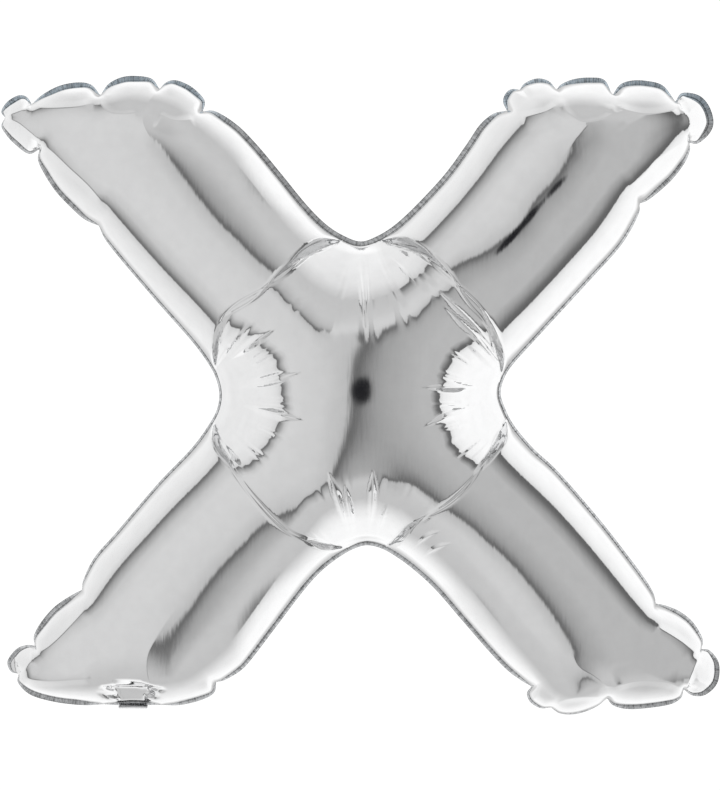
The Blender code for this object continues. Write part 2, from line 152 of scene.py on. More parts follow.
@dataclass(frozen=True)
class Crease:
    """A narrow fold in the film.

    Attributes:
        path: points along it as (x, z) in millimetres.
        rise: how far its crest stands up, in millimetres.
        half_width: from the crest to its foot, in millimetres.
        taper: how pull, rise and width run from its start to its end.
        spread: how far apart its two strands lie, in millimetres, or 0 for a single crease.
        crossings: how often the strands cross.
        lean: how much wider a ridge is on its inner side.
        pillow: whether it is the inner edge of a small lobe that climbs straight up to it.
        pull: how hard the film is held back along it, per metre.
    """

    path: Pairs
    rise: float
    half_width: float
    taper: Taper
    spread: float = 0
    crossings: int = 0
    lean: float = 1
    pillow: bool = False
    pull: float = 0

    def strands(self, step: float) -> list[Array]:
        """The crease's lines, at even steps along it, in metres."""
        middle = smooth_curve(np.array(self.path) * MM, step)
        if not self.spread:
            return [middle]
        t = np.linspace(0, 1, len(middle))
        aside = 0.5 * self.spread * MM * np.cos(np.pi * self.crossings * t) * (4 * t * (1 - t)) ** 0.4
        beside = side_normals(middle) * aside[:, None]
        return [middle + beside, middle - beside]


# The folded arcs where each arm runs into the domed middle, from notch to notch, as rise, half
# width, spread, crossings and path
ARM_CREASES = tuple(
    Crease(path, rise, half_width, Taper.EVEN, spread, crossings)
    for rise, half_width, spread, crossings, path in (
        (1.4, 2.4, 8, 3, ((-176, 56), (-167, 94), (-121, 126), (-72, 168), (-29, 190))),
        (1.5, 2.6, 9, 3, ((34, 190), (82, 170), (134, 116), (155, 88), (171, 45))),
        (1.2, 2.0, 4, 0, ((-178, -44), (-167, -71), (-132, -122), (-84, -169), (-26, -188))),
        (1.2, 2.0, 4.5, 2, ((178, -39), (144, -94), (111, -129), (60, -161), (34, -188))),
    )
)

# The gathers that fan out of the four notches, as rise, half width and path
NOTCH_CREASES = tuple(
    Crease(path, rise, half_width, Taper.BLADE)
    for rise, half_width, path in (
        # top
        (3.0, 3.6, ((-1, 179), (1, 138), (6, 80))),
        (1.6, 2.8, ((8, 179), (9, 138), (9, 91))),
        (0.9, 4.0, ((-12, 175), (-20, 144), (-30, 111))),
        (0.9, 4.0, ((20, 174), (32, 144), (48, 111))),
        (1.6, 3.4, ((30, 176), (48, 159), (68, 134))),
        # left
        (5.4, 6.8, ((-172, 36), (-140, 58), (-102, 81))),
        (7.0, 7.8, ((-160, 8), (-118, 16), (-71, 28))),
        (7.0, 7.8, ((-155, -9), (-115, -20), (-68, -31))),
        # right
        (5.4, 6.4, ((162, 11), (128, 10), (75, 9))),
        (6.4, 7.4, ((155, -11), (122, -21), (78, -38))),
        # bottom
        (5.4, 6.2, ((-12, -182), (-22, -141), (-38, -94))),
        (5.0, 5.6, ((-5, -182), (-11, -150), (-18, -109))),
        (5.6, 6.2, ((9, -181), (14, -139), (16, -91))),
        (3.4, 4.2, ((18, -182), (25, -159), (34, -131))),
        # the long blades beside the upper right arm
        (4.6, 5.4, ((175, 36), (140, 72), (102, 108))),
        (4.0, 4.8, ((168, 54), (135, 89), (98, 124))),
        (3.4, 4.2, ((181, 49), (165, 79), (148, 108))),
        # the crumples at the foot of the lower right arm
        (2.2, 3.6, ((65, -189), (80, -174), (98, -166))),
        (2.2, 3.6, ((75, -201), (92, -188), (112, -181))),
        (1.8, 3.2, ((60, -169), (72, -156), (88, -149))),
    )
)

# The inner edges of the lobes, where the film turns over into the arm's end, as rise, half
# width, whether the lobe is a pillow, and path
LOBE_LEAN = 2.6
LOBE_EDGES = tuple(
    Crease(path, rise, half_width, Taper.RIDGE, lean=LOBE_LEAN, pillow=pillow)
    for rise, half_width, pillow, path in (
        # upper left arm
        (1.2, 5, True, ((-440, 348), (-429, 351), (-415, 356))),
        (1.6, 6, True, ((-439, 345), (-424, 338), (-409, 326), (-398, 315))),
        (2.2, 9, False, ((-396, 310), (-382, 302), (-359, 281), (-336, 260), (-319, 240))),
        (2.0, 9, False, ((-408, 360), (-390, 356), (-371, 355), (-350, 356), (-330, 360))),
        (1.8, 7, False, ((-324, 372), (-320, 360), (-310, 349), (-292, 346), (-271, 348))),
        (2.0, 8, False, ((-248, 346), (-231, 338), (-215, 338), (-205, 341))),
        # upper right arm
        (1.6, 8, False, ((198, 342), (212, 344), (228, 348), (242, 356))),
        (
            2.4, 8, False,
            (
                (248, 366), (251, 350), (260, 341), (272, 334),
                (285, 335), (298, 338), (309, 344), (311, 356),
            ),
        ),
        (2.2, 9, False, ((315, 354), (332, 348), (352, 345), (375, 348), (394, 355))),
        (1.8, 6, True, ((398, 352), (406, 345), (409, 334), (406, 322), (408, 315))),
        (2.2, 9, False, ((406, 311), (395, 309), (366, 290), (349, 271), (331, 256))),
        # lower left arm
        (1.4, 6, True, ((-429, -348), (-419, -344), (-408, -329))),
        (2.2, 9, False, ((-405, -318), (-391, -315), (-374, -302), (-354, -281), (-340, -265))),
        (2.4, 9, False, ((-420, -352), (-388, -354), (-354, -351), (-331, -349))),
        # lower right arm
        (2.2, 8, False, ((366, -286), (380, -294), (399, -306), (420, -322))),
        (1.8, 7, True, ((421, -326), (415, -336), (410, -349), (406, -364))),
        (2.2, 9, False, ((315, -360), (332, -354), (352, -352), (380, -355), (402, -365))),
        (1.4, 7, False, ((241, -388), (250, -379), (272, -374), (300, -374))),
    )
)

# The folds in which the arms' ridges run out to the puckers at their ends, as rise, half width
# and path
RIDGE_ENDS = tuple(
    Crease(path, rise, half_width, Taper.RUNOUT)
    for rise, half_width, path in (
        (2.8, 24, ((-251, 378), (-258, 365), (-266, 348), (-266, 331), (-252, 304))),
        (1.2, 16, ((280, 330), (270, 321), (258, 306), (245, 286))),
        (3.2, 26, ((-256, -364), (-262, -341), (-259, -314), (-240, -282), (-221, -256))),
        (2.8, 16, ((306, -359), (288, -345), (269, -334), (258, -314))),
    )
)


@dataclass(frozen=True)
class ArmLevel:
    """How the film's height changes along an arm.

    Attributes:
        towards: the arm's direction in the plane.
        levels: the share of its height that the film keeps at each of LEVEL_PLACES.
    """

    towards: tuple[float, float]
    levels: tuple[float, ...]


# Distances along an arm from the middle, the step of the curve through its levels, and how far
# past the line between two arms a level comes in, in millimetres
LEVEL_PLACES = (180, 220, 260, 300, 340, 380, 400, 420, 440, 460, 500)
LEVEL_STEP = 2
LEVEL_EASE = 150

# The ridges of three arms fall off a little to their ends, and the upper right one stays level
FALLING = (1, 1, 0.992, 0.984, 0.975, 0.965, 0.96, 0.955, 0.95, 0.945, 0.94)
LEVEL = (1, 0.996, 1.0175, 1.055, 1.086, 1.136, 1.167, 1.20, 1.235, 1.255, 1.26)
ARM_LEVELS = (
    ArmLevel((-1, 1), FALLING),
    ArmLevel((1, 1), LEVEL),
    ArmLevel((-1, -1), FALLING),
    ArmLevel((1, -1), FALLING),
)

# The least way in that counts for a fan, as a share of the depth from the seam, and how softly
# it and the way from the foot of the fan's cone run into each other
SEAM_CLIMB = 0.8
SEAM_BLEND = 8 * MM


@dataclass(frozen=True)
class NotchFan:
    """The fan of gathered film that climbs straight out of a notch, as part of a round cone.

    Attributes:
        centre: the middle of the cone, outside the seam, in millimetres.
        radius: from there to the notch's seam, in millimetres.
        start: how steeply the film climbs at the seam.
        end: how steeply it climbs beyond the fan's reach.
        reach: how far in the climb eases from the one to the other, in millimetres.
        blend: how softly it turns over into the dome, in millimetres.
        edge: from the centre to the fan's inner edge, in millimetres.
        jag: how deep the fine gathers are, as a share of the climb.
        gather: how deep the broad gathers are, as a share of the climb.
        phase: which way the gathers are turned.
        pleats: how many broad gathers a whole turn would have.
    """

    centre: tuple[float, float]
    radius: float
    start: float
    end: float
    reach: float
    blend: float
    edge: float
    jag: float
    gather: float = 0.02
    phase: float = 0
    pleats: float = 11

    def climb(self, points: Array, depth: Array) -> Array:
        """How high the fan holds the film at each point.

        Args:
            points: the points of the plan.
            depth: how far in from the seam each is.

        Returns:
            The fan's height at each point.
        """
        off = points - np.array(self.centre) * MM
        away = np.linalg.norm(off, axis=1) - self.radius * MM
        away = -eased_least(-away, -SEAM_CLIMB * depth, SEAM_BLEND)
        reach = self.reach * MM
        inside = np.clip(away, 0, reach)
        climb = self.start * inside - (self.start - self.end) * inside**2 / (2 * reach)
        climb += self.end * (away - inside)
        return climb * self._gathered(np.arctan2(off[:, 1], off[:, 0]))

    def _gathered(self, angle: Array) -> Array:
        """What the gathers multiply the climb by, in waves that never quite repeat."""
        turn = angle * self.pleats + self.phase
        folds = np.sin(turn) + 0.6 * np.sin(1.7 * turn + 1)
        fine = 3.4 * turn + 2.2 * np.sin(1.9 * turn + self.phase)
        teeth = np.abs(fine / np.pi % 2 - 1) * 2 - 1
        return 1 + self.gather * folds + self.jag * teeth * (0.65 + 0.35 * np.sin(2.6 * turn))

    def inner_edge(self) -> Array:
        """An arc along the fan's inner edge, in metres."""
        turn = np.linspace(0, 2 * np.pi, 400)
        arc = np.column_stack([np.cos(turn), np.sin(turn)]) * self.edge
        return (arc + np.array(self.centre)) * MM


NOTCH_FANS = (
    NotchFan((1, 236), 51, 1.8, 0.85, 85, 24, 132, 0.008, gather=0.012),
    NotchFan((-211, -4), 41, 1.65, 1.35, 66, 22, 106, 0.03, phase=0.5),
    NotchFan((211, -8), 40, 1.75, 1.45, 60, 22, 104, 0.03, phase=0.9),
    NotchFan((9, -229), 45, 2.4, 1.1, 58, 22, 125, 0.008, gather=0.008, phase=0.3),
)

# How fast a fan lets go of the film beyond the arcs round the middle
ARM_RELEASE = 4.0

# How far the arcs run on past the seam at the notches
NOTCH_OVERLAP = 30 * MM

# How the dome leans, and how much it twists with the cube of the height, per cubic metre
DOME_LEAN = (0.03, -0.006)
DOME_LEAN_REACH = 120 * MM
DOME_TWIST = 115.0
DOME_TWIST_REACH = (50 * MM, 140 * MM)

# The arms' outer corners, and the distances from them over which the body is smoothed again
CORNERS = ((-440, 345), (425, 350), (430, -345), (-425, -345))
CORNER_REACH = (20 * MM, 60 * MM)

# The crease from each pucker inwards: how far it runs and how hard it pulls
PUCKER_REACH = 26 * MM
PUCKER_PULL = 40.0

# How the height of a small lobe climbs with the way from the seam to its inner edge
PILLOW_POWER = 0.85

# The attribute that holds where each point lies on the rim: its place on a circle as long as
# the rim, then how far across it, in metres
RIM_PLACE = "rim_place"

# The filling neck's middle and width, at the foot of the lower left arm, the width of the
# valve's liner in it and how far the liner runs on past it
NECK_X = -284 * MM
NECK_WIDTH = 36 * MM
LINER_WIDTH = 28 * MM
LINER_TAIL = 6 * MM

# Its way down from the seam, round the foot and up behind the arm, as (y, z) in millimetres
NECK_ROUTE = (
    (0.9, -388.4), (1.3, -389.4), (2.2, -390.0), (4.0, -390.1), (12.0, -388.0), (24.5, -382.0),
    (33.0, -376.5), (41.0, -371.0), (50.0, -364.0), (58.0, -356.5), (64.8, -346.0), (75.0, -326.0),
)

# The flat panel that the neck keeps in the arm's foot: its height at the seam, its slope and
# how far up it goes, how steeply the film beyond and beside it climbs, where the film is let
# go again and how steeply, and how softly the panel runs into the arm
PANEL_FOOT = 2 * MM
PANEL_SLOPE = 0.8
PANEL_REACH = 20 * MM
PANEL_END_SLOPE = 2.4
PANEL_SIDE_SLOPE = 1.7
PANEL_TOP = -352 * MM
PANEL_TOP_SLOPE = 8
PANEL_BLEND = 12 * MM

# The step at which a crease's crest is measured, the least share of its width that a weak
# stretch keeps, and how a ridge falls off to its foot, as a power
CREST_STEP = 0.2 * MM
LEAST_WIDTH = 0.15
RIDGE_POWER = 1.4

# The edges of a closed mesh that are sharper than this are shaded as edges
SHARP_ANGLE = math.radians(50)


# Plane geometry


def evenly_spaced(path: Array, step: float) -> Array:
    """Resample a path at even steps.

    Args:
        path: points in order.
        step: the wanted distance between points.

    Returns:
        The points, at least three, with both ends kept.
    """
    lengths = np.linalg.norm(np.diff(path, axis=0), axis=1)
    along = np.concatenate([[0], np.cumsum(lengths)])
    count = max(2, round(along[-1] / step))
    places = np.linspace(0, along[-1], count + 1)
    return np.column_stack([np.interp(places, along, path[:, axis]) for axis in (0, 1)])


def smooth_curve(points: Array, step: float) -> Array:
    """Run a smooth curve through given points.

    Args:
        points: the points to pass through.
        step: the distance between the points returned.

    Returns:
        Evenly spaced points along the curve.
    """
    ends = np.vstack([2 * points[0] - points[1], points, 2 * points[-1] - points[-2]])
    dense = []
    for before, start, stop, after in zip(ends, ends[1:], ends[2:], ends[3:]):
        t = np.linspace(0, 1, 24, endpoint=False)[:, None]
        out = stop - before
        into = after - start
        dense.append(
            start
            + 0.5 * t * out
            + t**2 * (3 * (stop - start) - out - 0.5 * into)
            + t**3 * (2 * (start - stop) + 0.5 * out + 0.5 * into)
        )
    return evenly_spaced(np.vstack(dense + [points[-1:]]), step)


def side_normals(line: Array, closed: bool = False) -> Array:
    """Unit normals to the right of a line, which is inwards on a clockwise loop."""
    if closed:
        along = np.roll(line, -1, axis=0) - np.roll(line, 1, axis=0)
    else:
        along = np.gradient(line, axis=0)
    normals = np.column_stack([along[:, 1], -along[:, 0]])
    return normals / np.maximum(np.linalg.norm(normals, axis=1)[:, None], 1e-12)


def eased(value: Array, low: float, high: float) -> Array:
    """A smooth step from 0 at low to 1 at high."""
    t = np.clip((value - low) / (high - low), 0, 1)
    return t * t * (3 - 2 * t)


def evened(values: Array, passes: int) -> Array:
    """Values round a loop, each averaged with its neighbours a number of times."""
    for _ in range(passes):
        values = 0.25 * np.roll(values, 1) + 0.5 * values + 0.25 * np.roll(values, -1)
    return values


def looped(loop: Array) -> Array:
    """A loop's points, with the first one again at the end."""
    return np.vstack([loop, loop[:1]])


def eased_least(first: Array, second: Array, blend: float) -> Array:
    """The lesser of two heights, rounded off where they are within blend of each other."""
    near = np.maximum(blend - np.abs(first - second), 0) / blend
    return np.minimum(first, second) - near**2 * blend / 4


def in_box(points: Array, line: Array, margin: float = 0) -> Array:
    """The indices of the points inside a line's box, widened by a margin."""
    low = line.min(axis=0) - margin
    high = line.max(axis=0) + margin
    return np.flatnonzero(((points > low) & (points < high)).all(axis=1))


class Nearby:
    """Looks up the nearest of a set of points of the plane."""

    def __init__(self, points: Array) -> None:
        """Keep the points in a search tree."""
        self.tree = KDTree(len(points))
        for index, (x, z) in enumerate(points):
            self.tree.insert((x, z, 0), index)
        self.tree.balance()

    def find(self, points: Array) -> tuple[Array, Array]:
        """The nearest point's index and distance, for each of the given points."""
        found = [self.tree.find((x, z, 0)) for x, z in points]
        return np.array([f[1] for f in found]), np.array([f[2] for f in found])


def inside_loop(points: Array, loop: Array) -> Array:
    """Whether each point is inside the loop, by counting the edges to its right."""
    ends = np.roll(loop, -1, axis=0)
    rise = np.where(ends[:, 1] == loop[:, 1], 1, ends[:, 1] - loop[:, 1])
    slope = (ends[:, 0] - loop[:, 0]) / rise
    inside = []
    for part in np.array_split(points, max(1, len(points) // 4000)):
        x = part[:, 0][:, None]
        z = part[:, 1][:, None]
        straddles = (loop[:, 1] > z) != (ends[:, 1] > z)
        crossing = loop[:, 0] + (z - loop[:, 1]) * slope
        inside.append((straddles & (x < crossing)).sum(axis=1) % 2 == 1)
    return np.concatenate(inside)


def hexagon_grid(low: Array, high: Array, step: float) -> Array:
    """Points of a triangular grid that covers a box."""
    rise = step * math.sqrt(0.75)
    points = []
    for row in range(math.ceil((high[1] - low[1]) / rise) + 1):
        x = np.arange(low[0] + (row % 2) * step / 2, high[0], step)
        points.append(np.column_stack([x, np.full(len(x), low[1] + row * rise)]))
    return np.vstack(points)


@dataclass
class Fold:
    """A line along which the film is drawn in.

    Attributes:
        line: points along the fold.
        pull: how hard the film is held back at each point, per metre.
    """

    line: Array
    pull: Array


@dataclass
class SeamOutline:
    """The rim's edge, the welded seam inside it, and the smooth body inside that.

    The seam runs out round every lobe and in at every pucker. The gas fills the body that the
    smoothed seam encloses, and the film between the two follows the lobes.

    Attributes:
        rim_width: the welded margin's width.
        step: distance between points along the edge.
        pinch: how far from a pucker the margin shows narrower.
        narrowest: how wide it shows at the pucker, as a share of its widest.
        smoothing: how far along the seam its lobes are evened out for the body.
        corner_share: the share of that at the arms' outer corners.
        lobe_reach: how far in from the seam the lobes still show.
        lobe_ease: how much further they show for each metre that they stand off the body.
        passes: how often the lobes' reach is evened out between neighbours.
        rounds: how many times the way back from a lobed place to the body's plan is mended.
        search_step: distance between the points from which nearest places are looked up.
    """

    rim_width: float = 6.5 * MM
    step: float = 3 * MM
    pinch: float = 38 * MM
    narrowest: float = 0.1
    smoothing: float = 20 * MM
    corner_share: float = 0.25
    lobe_reach: float = 17 * MM
    lobe_ease: float = 1.9
    passes: int = 6
    rounds: int = 16
    search_step: float = 0.5 * MM
    edge: Array = field(init=False)
    shown: Array = field(init=False)
    seam: Array = field(init=False)
    body: Array = field(init=False)
    puckers: list[int] = field(init=False)
    length: float = field(init=False)
    search_count: int = field(init=False)
    near_body: Nearby = field(init=False)

    def __post_init__(self) -> None:
        """Lay out the rim's edge, the seam inside it and the body."""
        stretches = []
        shown = []
        self.puckers = []
        followings = RIM_LOBES[1:] + RIM_LOBES[:1]
        for lobe, following, widest in zip(RIM_LOBES, followings, RIM_SHOWN):
            stretch = smooth_curve(np.array(lobe + following[:1], float) * MM, self.step)
            self.puckers.append(sum(len(s) for s in stretches))
            stretches.append(stretch[:-1])
            shown.append(self._lens(len(stretch) - 1) * widest * MM)
        self.edge = np.vstack(stretches)
        self.shown = np.concatenate(shown)
        self.seam = self._inset()
        self.body = self._smoothed()
        around = looped(self.body)
        self.length = np.linalg.norm(np.diff(around, axis=0), axis=1).sum()
        dense = evenly_spaced(around, self.search_step)[:-1]
        self.search_count = len(dense)
        self.near_body = Nearby(dense)

    def _smoothed(self) -> Array:
        """The seam with its lobes evened out, less so at the arms' outer corners."""
        body = self.seam
        away = Nearby(np.array(CORNERS) * MM).find(body)[1]
        share = self.corner_share + (1 - self.corner_share) * eased(away, *CORNER_REACH)
        for _ in range(round(2 * (self.smoothing / self.step) ** 2)):
            beside = np.roll(body, -1, axis=0) + np.roll(body, 1, axis=0)
            middle = 0.25 * beside - 0.5 * body
            body = body + middle * share[:, None]
        return body

    def _lens(self, count: int) -> Array:
        """How wide the margin shows along a lobe, as a share of its widest."""
        places = np.arange(count) * self.step
        away = np.minimum(places, count * self.step - places)
        reach = min(self.pinch, 0.5 * count * self.step)
        rest = 1 - self.narrowest
        return self.narrowest + rest * np.sin(np.pi / 2 * np.clip(away / reach, 0, 1)) ** 0.8

    def _inset(self) -> Array:
        """The seam: as many points as the edge has, inside it by the width that shows."""
        seam = self.edge + side_normals(self.edge, closed=True) * self.shown[:, None]
        away = Nearby(evenly_spaced(looped(self.edge), self.search_step)[:-1]).find(seam)[1]
        good = away > 0.95 * self.shown
        good[self.puckers] = True
        places = np.arange(len(seam))
        kept = seam[good]
        return np.column_stack(
            [np.interp(places, places[good], kept[:, axis]) for axis in (0, 1)]
        )

    def place(self, points: Array) -> tuple[Array, Array]:
        """How far each point is from the body's edge, and how far along it."""
        nearest, depth = self.near_body.find(points)
        return depth, nearest / self.search_count * self.length

    def drift(self, depth: Array, along: Array) -> Array:
        """How far the lobes carry the film at each place, most at the edge."""
        lengths = np.linalg.norm(np.diff(looped(self.body), axis=0), axis=1)
        places = np.concatenate([[0], np.cumsum(lengths)[:-1]])
        off = self.seam - self.body
        reach = np.maximum(self.lobe_reach, self.lobe_ease * np.linalg.norm(off, axis=1))
        reach = np.interp(along, places, evened(reach, self.passes), period=self.length)
        fade = 1 - eased(depth / reach, 0, 1)
        moved = [np.interp(along, places, off[:, axis], period=self.length) for axis in (0, 1)]
        return np.column_stack(moved) * fade[:, None]

    def lobed(self, plan: PlanMesh) -> Array:
        """The plan's points, carried out over the lobes and in at the puckers."""
        moved = plan.points + self.drift(plan.depth, plan.along)
        moved[plan.border] = self.seam
        return moved

    def unlobed(self, points: Array) -> Array:
        """Where on the body's plan the points lie that the lobes carry to the given ones."""
        found = points.copy()
        for _ in range(self.rounds):
            found = 0.5 * found + 0.5 * (points - self.drift(*self.place(found)))
        return found

    def beside(self, line: Array) -> tuple[Array, Array]:
        """The stretch of the seam that a line cuts off.

        Args:
            line: points from one place near the seam to another.

        Returns:
            The line, turned so that it runs clockwise as the seam does, and the stretch.
        """
        count = len(self.seam)
        start, stop = Nearby(self.seam).find(line[[0, -1]])[0]
        if (stop - start) % count > count / 2:
            start, stop = stop, start
            line = line[::-1]
        places = np.arange(start, start + (stop - start) % count + 1) % count
        return line, self.seam[places]


@dataclass
class PlanMesh:
    """Triangles over the body's plan, finer near its edge and the folds.

    Attributes:
        outline: the outline whose body the triangles fill.
        folds: lines that the triangles follow.
        edge_rows: how far in from the seam the rows beside it lie.
        fold_rows: how far from a fold the rows beside it lie.
        fold_inset: how far in from the seam the folds start.
        row_inset: how far in from the seam the rows beside them start.
        gap: the least distance from a fold's point to another point.
        grid_gap: the least distance from a grid's point to another point, as a share of its step.
        zones: for each grid, its step and its reach from the seam and from the folds.
    """

    outline: SeamOutline
    folds: list[Fold]
    edge_rows: tuple[float, ...] = (0.3 * MM, 1.2 * MM, 2.7 * MM, 4.8 * MM, 7.5 * MM)
    fold_rows: tuple[float, ...] = (1.2 * MM, 2.8 * MM)
    fold_inset: float = 1.0 * MM
    row_inset: float = 1.5 * MM
    gap: float = 0.9 * MM
    grid_gap: float = 0.72
    zones: tuple[tuple[float, float, float], ...] = (
        (1.9 * MM, 10 * MM, 11 * MM),
        (3.0 * MM, 44 * MM, 32 * MM),
        (4.6 * MM, 999, 999),
    )
    points: Array = field(init=False)
    faces: Array = field(init=False)
    depth: Array = field(init=False)
    along: Array = field(init=False)
    border: Array = field(init=False)
    fold_points: list[Array] = field(init=False)
    near_seam: Nearby = field(init=False)

    def __post_init__(self) -> None:
        """Place the points, then join them."""
        self.near_seam = self.outline.near_body
        self.points = self.outline.body
        self._add_folds()
        self._add_edge_rows()
        self._add_grids()
        self._join()
        self.depth, self.along = self.outline.place(self.points)
        self.depth[self.border] = 0

    def _add(self, candidates: Array, spacing: float) -> None:
        """Take the candidates that keep the spacing from the points placed so far."""
        away = Nearby(self.points).find(candidates)[1]
        self.points = np.vstack([self.points, candidates[away > spacing]])

    def _add_folds(self) -> None:
        """Place the folds' own points, which become edges of the triangles."""
        seam = self.outline.body
        self.fold_points = []
        for fold in self.folds:
            away = self.near_seam.find(fold.line)[1]
            good = inside_loop(fold.line, seam) & (away > self.fold_inset)
            taken = Nearby(self.points).find(fold.line)[1]
            good &= taken > self.gap
            start = len(self.points)
            indices = np.full(len(fold.line), -1)
            indices[good] = start + np.arange(good.sum())
            self.points = np.vstack([self.points, fold.line[good]])
            self.fold_points.append(indices)

    def _add_edge_rows(self) -> None:
        """Place rows beside the seam, then rows beside the folds."""
        seam = self.outline.body
        normals = side_normals(seam, closed=True)
        for depth in self.edge_rows:
            row = seam + normals * depth
            away = self.near_seam.find(row)[1]
            good = inside_loop(row, seam) & (away > 0.9 * depth)
            self._add(row[good], min(0.8 * depth, 1.2 * MM))
        for fold in self.folds:
            beside = side_normals(fold.line)
            for offset in self.fold_rows:
                for row in (fold.line + offset * beside, fold.line - offset * beside):
                    away = self.near_seam.find(row)[1]
                    good = inside_loop(row, seam) & (away > self.row_inset)
                    if good.any():
                        self._add(row[good], self.gap)

    def _add_grids(self) -> None:
        """Fill the rest with grids, the finest first."""
        seam = self.outline.body
        low = seam.min(axis=0)
        high = seam.max(axis=0)
        fine = [fold.line for fold in self.folds] + [fan.inner_edge() for fan in NOTCH_FANS]
        near_fold = Nearby(np.vstack(fine))
        for step, seam_reach, fold_reach in self.zones:
            grid = hexagon_grid(low, high, step)
            grid = grid[inside_loop(grid, seam)]
            depth = self.near_seam.find(grid)[1]
            wanted = depth > self.edge_rows[-1] + 0.5 * step
            wanted &= (depth < seam_reach) | (near_fold.find(grid)[1] < fold_reach)
            self._add(grid[wanted], self.grid_gap * step)

    def _join(self) -> None:
        """Join the points with triangles inside the seam, with the folds as edges."""
        count = len(self.outline.body)
        edges = []
        for indices in self.fold_points:
            edges += [(a, b) for a, b in zip(indices, indices[1:]) if a >= 0 and b >= 0]
        places = [Vector(point) for point in self.points]
        edges += [(a, (a + 1) % count) for a in range(count)]
        found = delaunay_2d_cdt(places, edges, [], 0, 1e-9, True)
        moved = np.full(len(self.points), -1)
        for index, origins in enumerate(found[3]):
            moved[origins] = index
        self.points = np.array([tuple(point) for point in found[0]])
        faces = np.array([list(face) for face in found[2]])
        self.faces = faces[inside_loop(self.points[faces].mean(axis=1), self.outline.body)]
        self.fold_points = [np.where(i >= 0, moved[i], -1) for i in self.fold_points]
        self.border = moved[:count]


@dataclass
class PressedSkin:
    """The film as a skin that stands out from its plan under an even pressure.

    Its deflection u is held at zero along the seam, drawn back along the folds, and limited by
    a soft bed where the form is wide. The form is the root of 2u: close to a half circle
    across a long arm, and a low dome over the round middle.

    Attributes:
        plan: the triangles over the foil's plan.
        folds: the lines that draw the skin in.
        hold: how hard the soft bed holds the film back, per square metre.
        rounds: the most rounds that the solver takes.
        accuracy: the share of its first error at which it stops.
    """

    plan: PlanMesh
    folds: list[Fold]
    hold: float
    rounds: int = 4000
    accuracy: float = 1e-14
    start: Array = field(init=False)
    stop: Array = field(init=False)
    weight: Array = field(init=False)
    load: Array = field(init=False)
    diagonal: Array = field(init=False)
    free: Array = field(init=False)

    def __post_init__(self) -> None:
        """Weigh the pressure on each point, the skin between points, the bed and the folds."""
        faces = self.plan.faces
        count = len(self.plan.points)
        corners = self.plan.points[faces]
        opposite = corners[:, (2, 0, 1)] - corners[:, (1, 2, 0)]
        doubled = opposite[:, 0, 0] * opposite[:, 1, 1] - opposite[:, 0, 1] * opposite[:, 1, 0]
        area = np.maximum(np.abs(doubled) / 2, 1e-14)
        pairs = ((0, 1), (1, 2), (2, 0))
        shared = [(opposite[:, i] * opposite[:, j]).sum(axis=1) / (4 * area) for i, j in pairs]
        self.weight = -np.concatenate(shared)
        self.start = np.concatenate([faces[:, i] for i, _ in pairs])
        self.stop = np.concatenate([faces[:, j] for _, j in pairs])
        self.load = np.bincount(faces.ravel(), np.repeat(area / 3, 3), count)
        ends = [np.bincount(end, self.weight, count) for end in (self.start, self.stop)]
        self.diagonal = self.load * self.hold + (ends[0] + ends[1])
        for fold, indices in zip(self.folds, self.plan.fold_points):
            here = indices >= 0
            step = np.linalg.norm(np.gradient(fold.line, axis=0), axis=1)
            np.add.at(self.diagonal, indices[here], (fold.pull * step)[here])
        self.free = np.ones(count, bool)
        self.free[self.plan.border] = False

    def _resistance(self, u: Array) -> Array:
        """How hard the skin resists the deflection u at each point."""
        pulled = np.bincount(self.start, self.weight * u[self.stop], len(u))
        pulled += np.bincount(self.stop, self.weight * u[self.start], len(u))
        return (self.diagonal * u - pulled) * self.free

    def heights(self) -> Array:
        """Solve the deflection by conjugate gradients.

        Returns:
            The height of each point over the seam's plane.
        """
        u = np.zeros(len(self.load))
        left = self.load * self.free
        way = left / self.diagonal
        size = left @ way
        least = self.accuracy * size
        for _ in range(self.rounds):
            pushed = self._resistance(way)
            stride = size / (way @ pushed)
            u += stride * way
            left -= stride * pushed
            scaled = left / self.diagonal
            size, before = left @ scaled, size
            if size < least:
                break
            way = scaled + size / before * way
        return np.sqrt(2 * np.maximum(u, 0))


def pillowed(outline: SeamOutline, points: Array, height: Array) -> Array:
    """Let the small lobes at the arms' corners climb straight from the seam to their inner edge.

    Args:
        outline: the seam.
        points: the film's points, carried out over the lobes.
        height: their heights.

    Returns:
        The changed heights.
    """
    height = height.copy()
    near_points = Nearby(points)
    for crease in LOBE_EDGES:
        if not crease.pillow:
            continue
        line, stretch = outline.beside(crease.strands(1 * MM)[0])
        region = np.vstack([line, stretch[::-1]])
        near = in_box(points, region)
        near = near[inside_loop(points[near], region)]
        held = height[near_points.find(line)[0]]
        index, inwards = Nearby(line).find(points[near])
        outwards = Nearby(evenly_spaced(stretch, 0.5 * MM)).find(points[near])[1]
        share = outwards / np.maximum(outwards + inwards, 1e-9)
        height[near] = held[index] * share**PILLOW_POWER
    return height


def beyond_middle(points: Array) -> Array:
    """How far out on an arm each point is, past the arcs round the middle, or 0 inside them."""
    arcs = []
    for crease in ARM_CREASES:
        path = np.array(crease.path) * MM
        first = path[0] - path[1]
        last = path[-1] - path[-2]
        first *= NOTCH_OVERLAP / np.linalg.norm(first)
        last *= NOTCH_OVERLAP / np.linalg.norm(last)
        longer = np.vstack([path[0] + first, path, path[-1] + last])
        arcs.append(smooth_curve(longer, 0.5 * MM))
    upper_left, upper_right, lower_left, lower_right = arcs
    ring = np.vstack([upper_left, upper_right, lower_right, lower_left[::-1]])
    away = Nearby(np.vstack(arcs)).find(points)[1]
    return np.where(inside_loop(points, ring), 0, away)


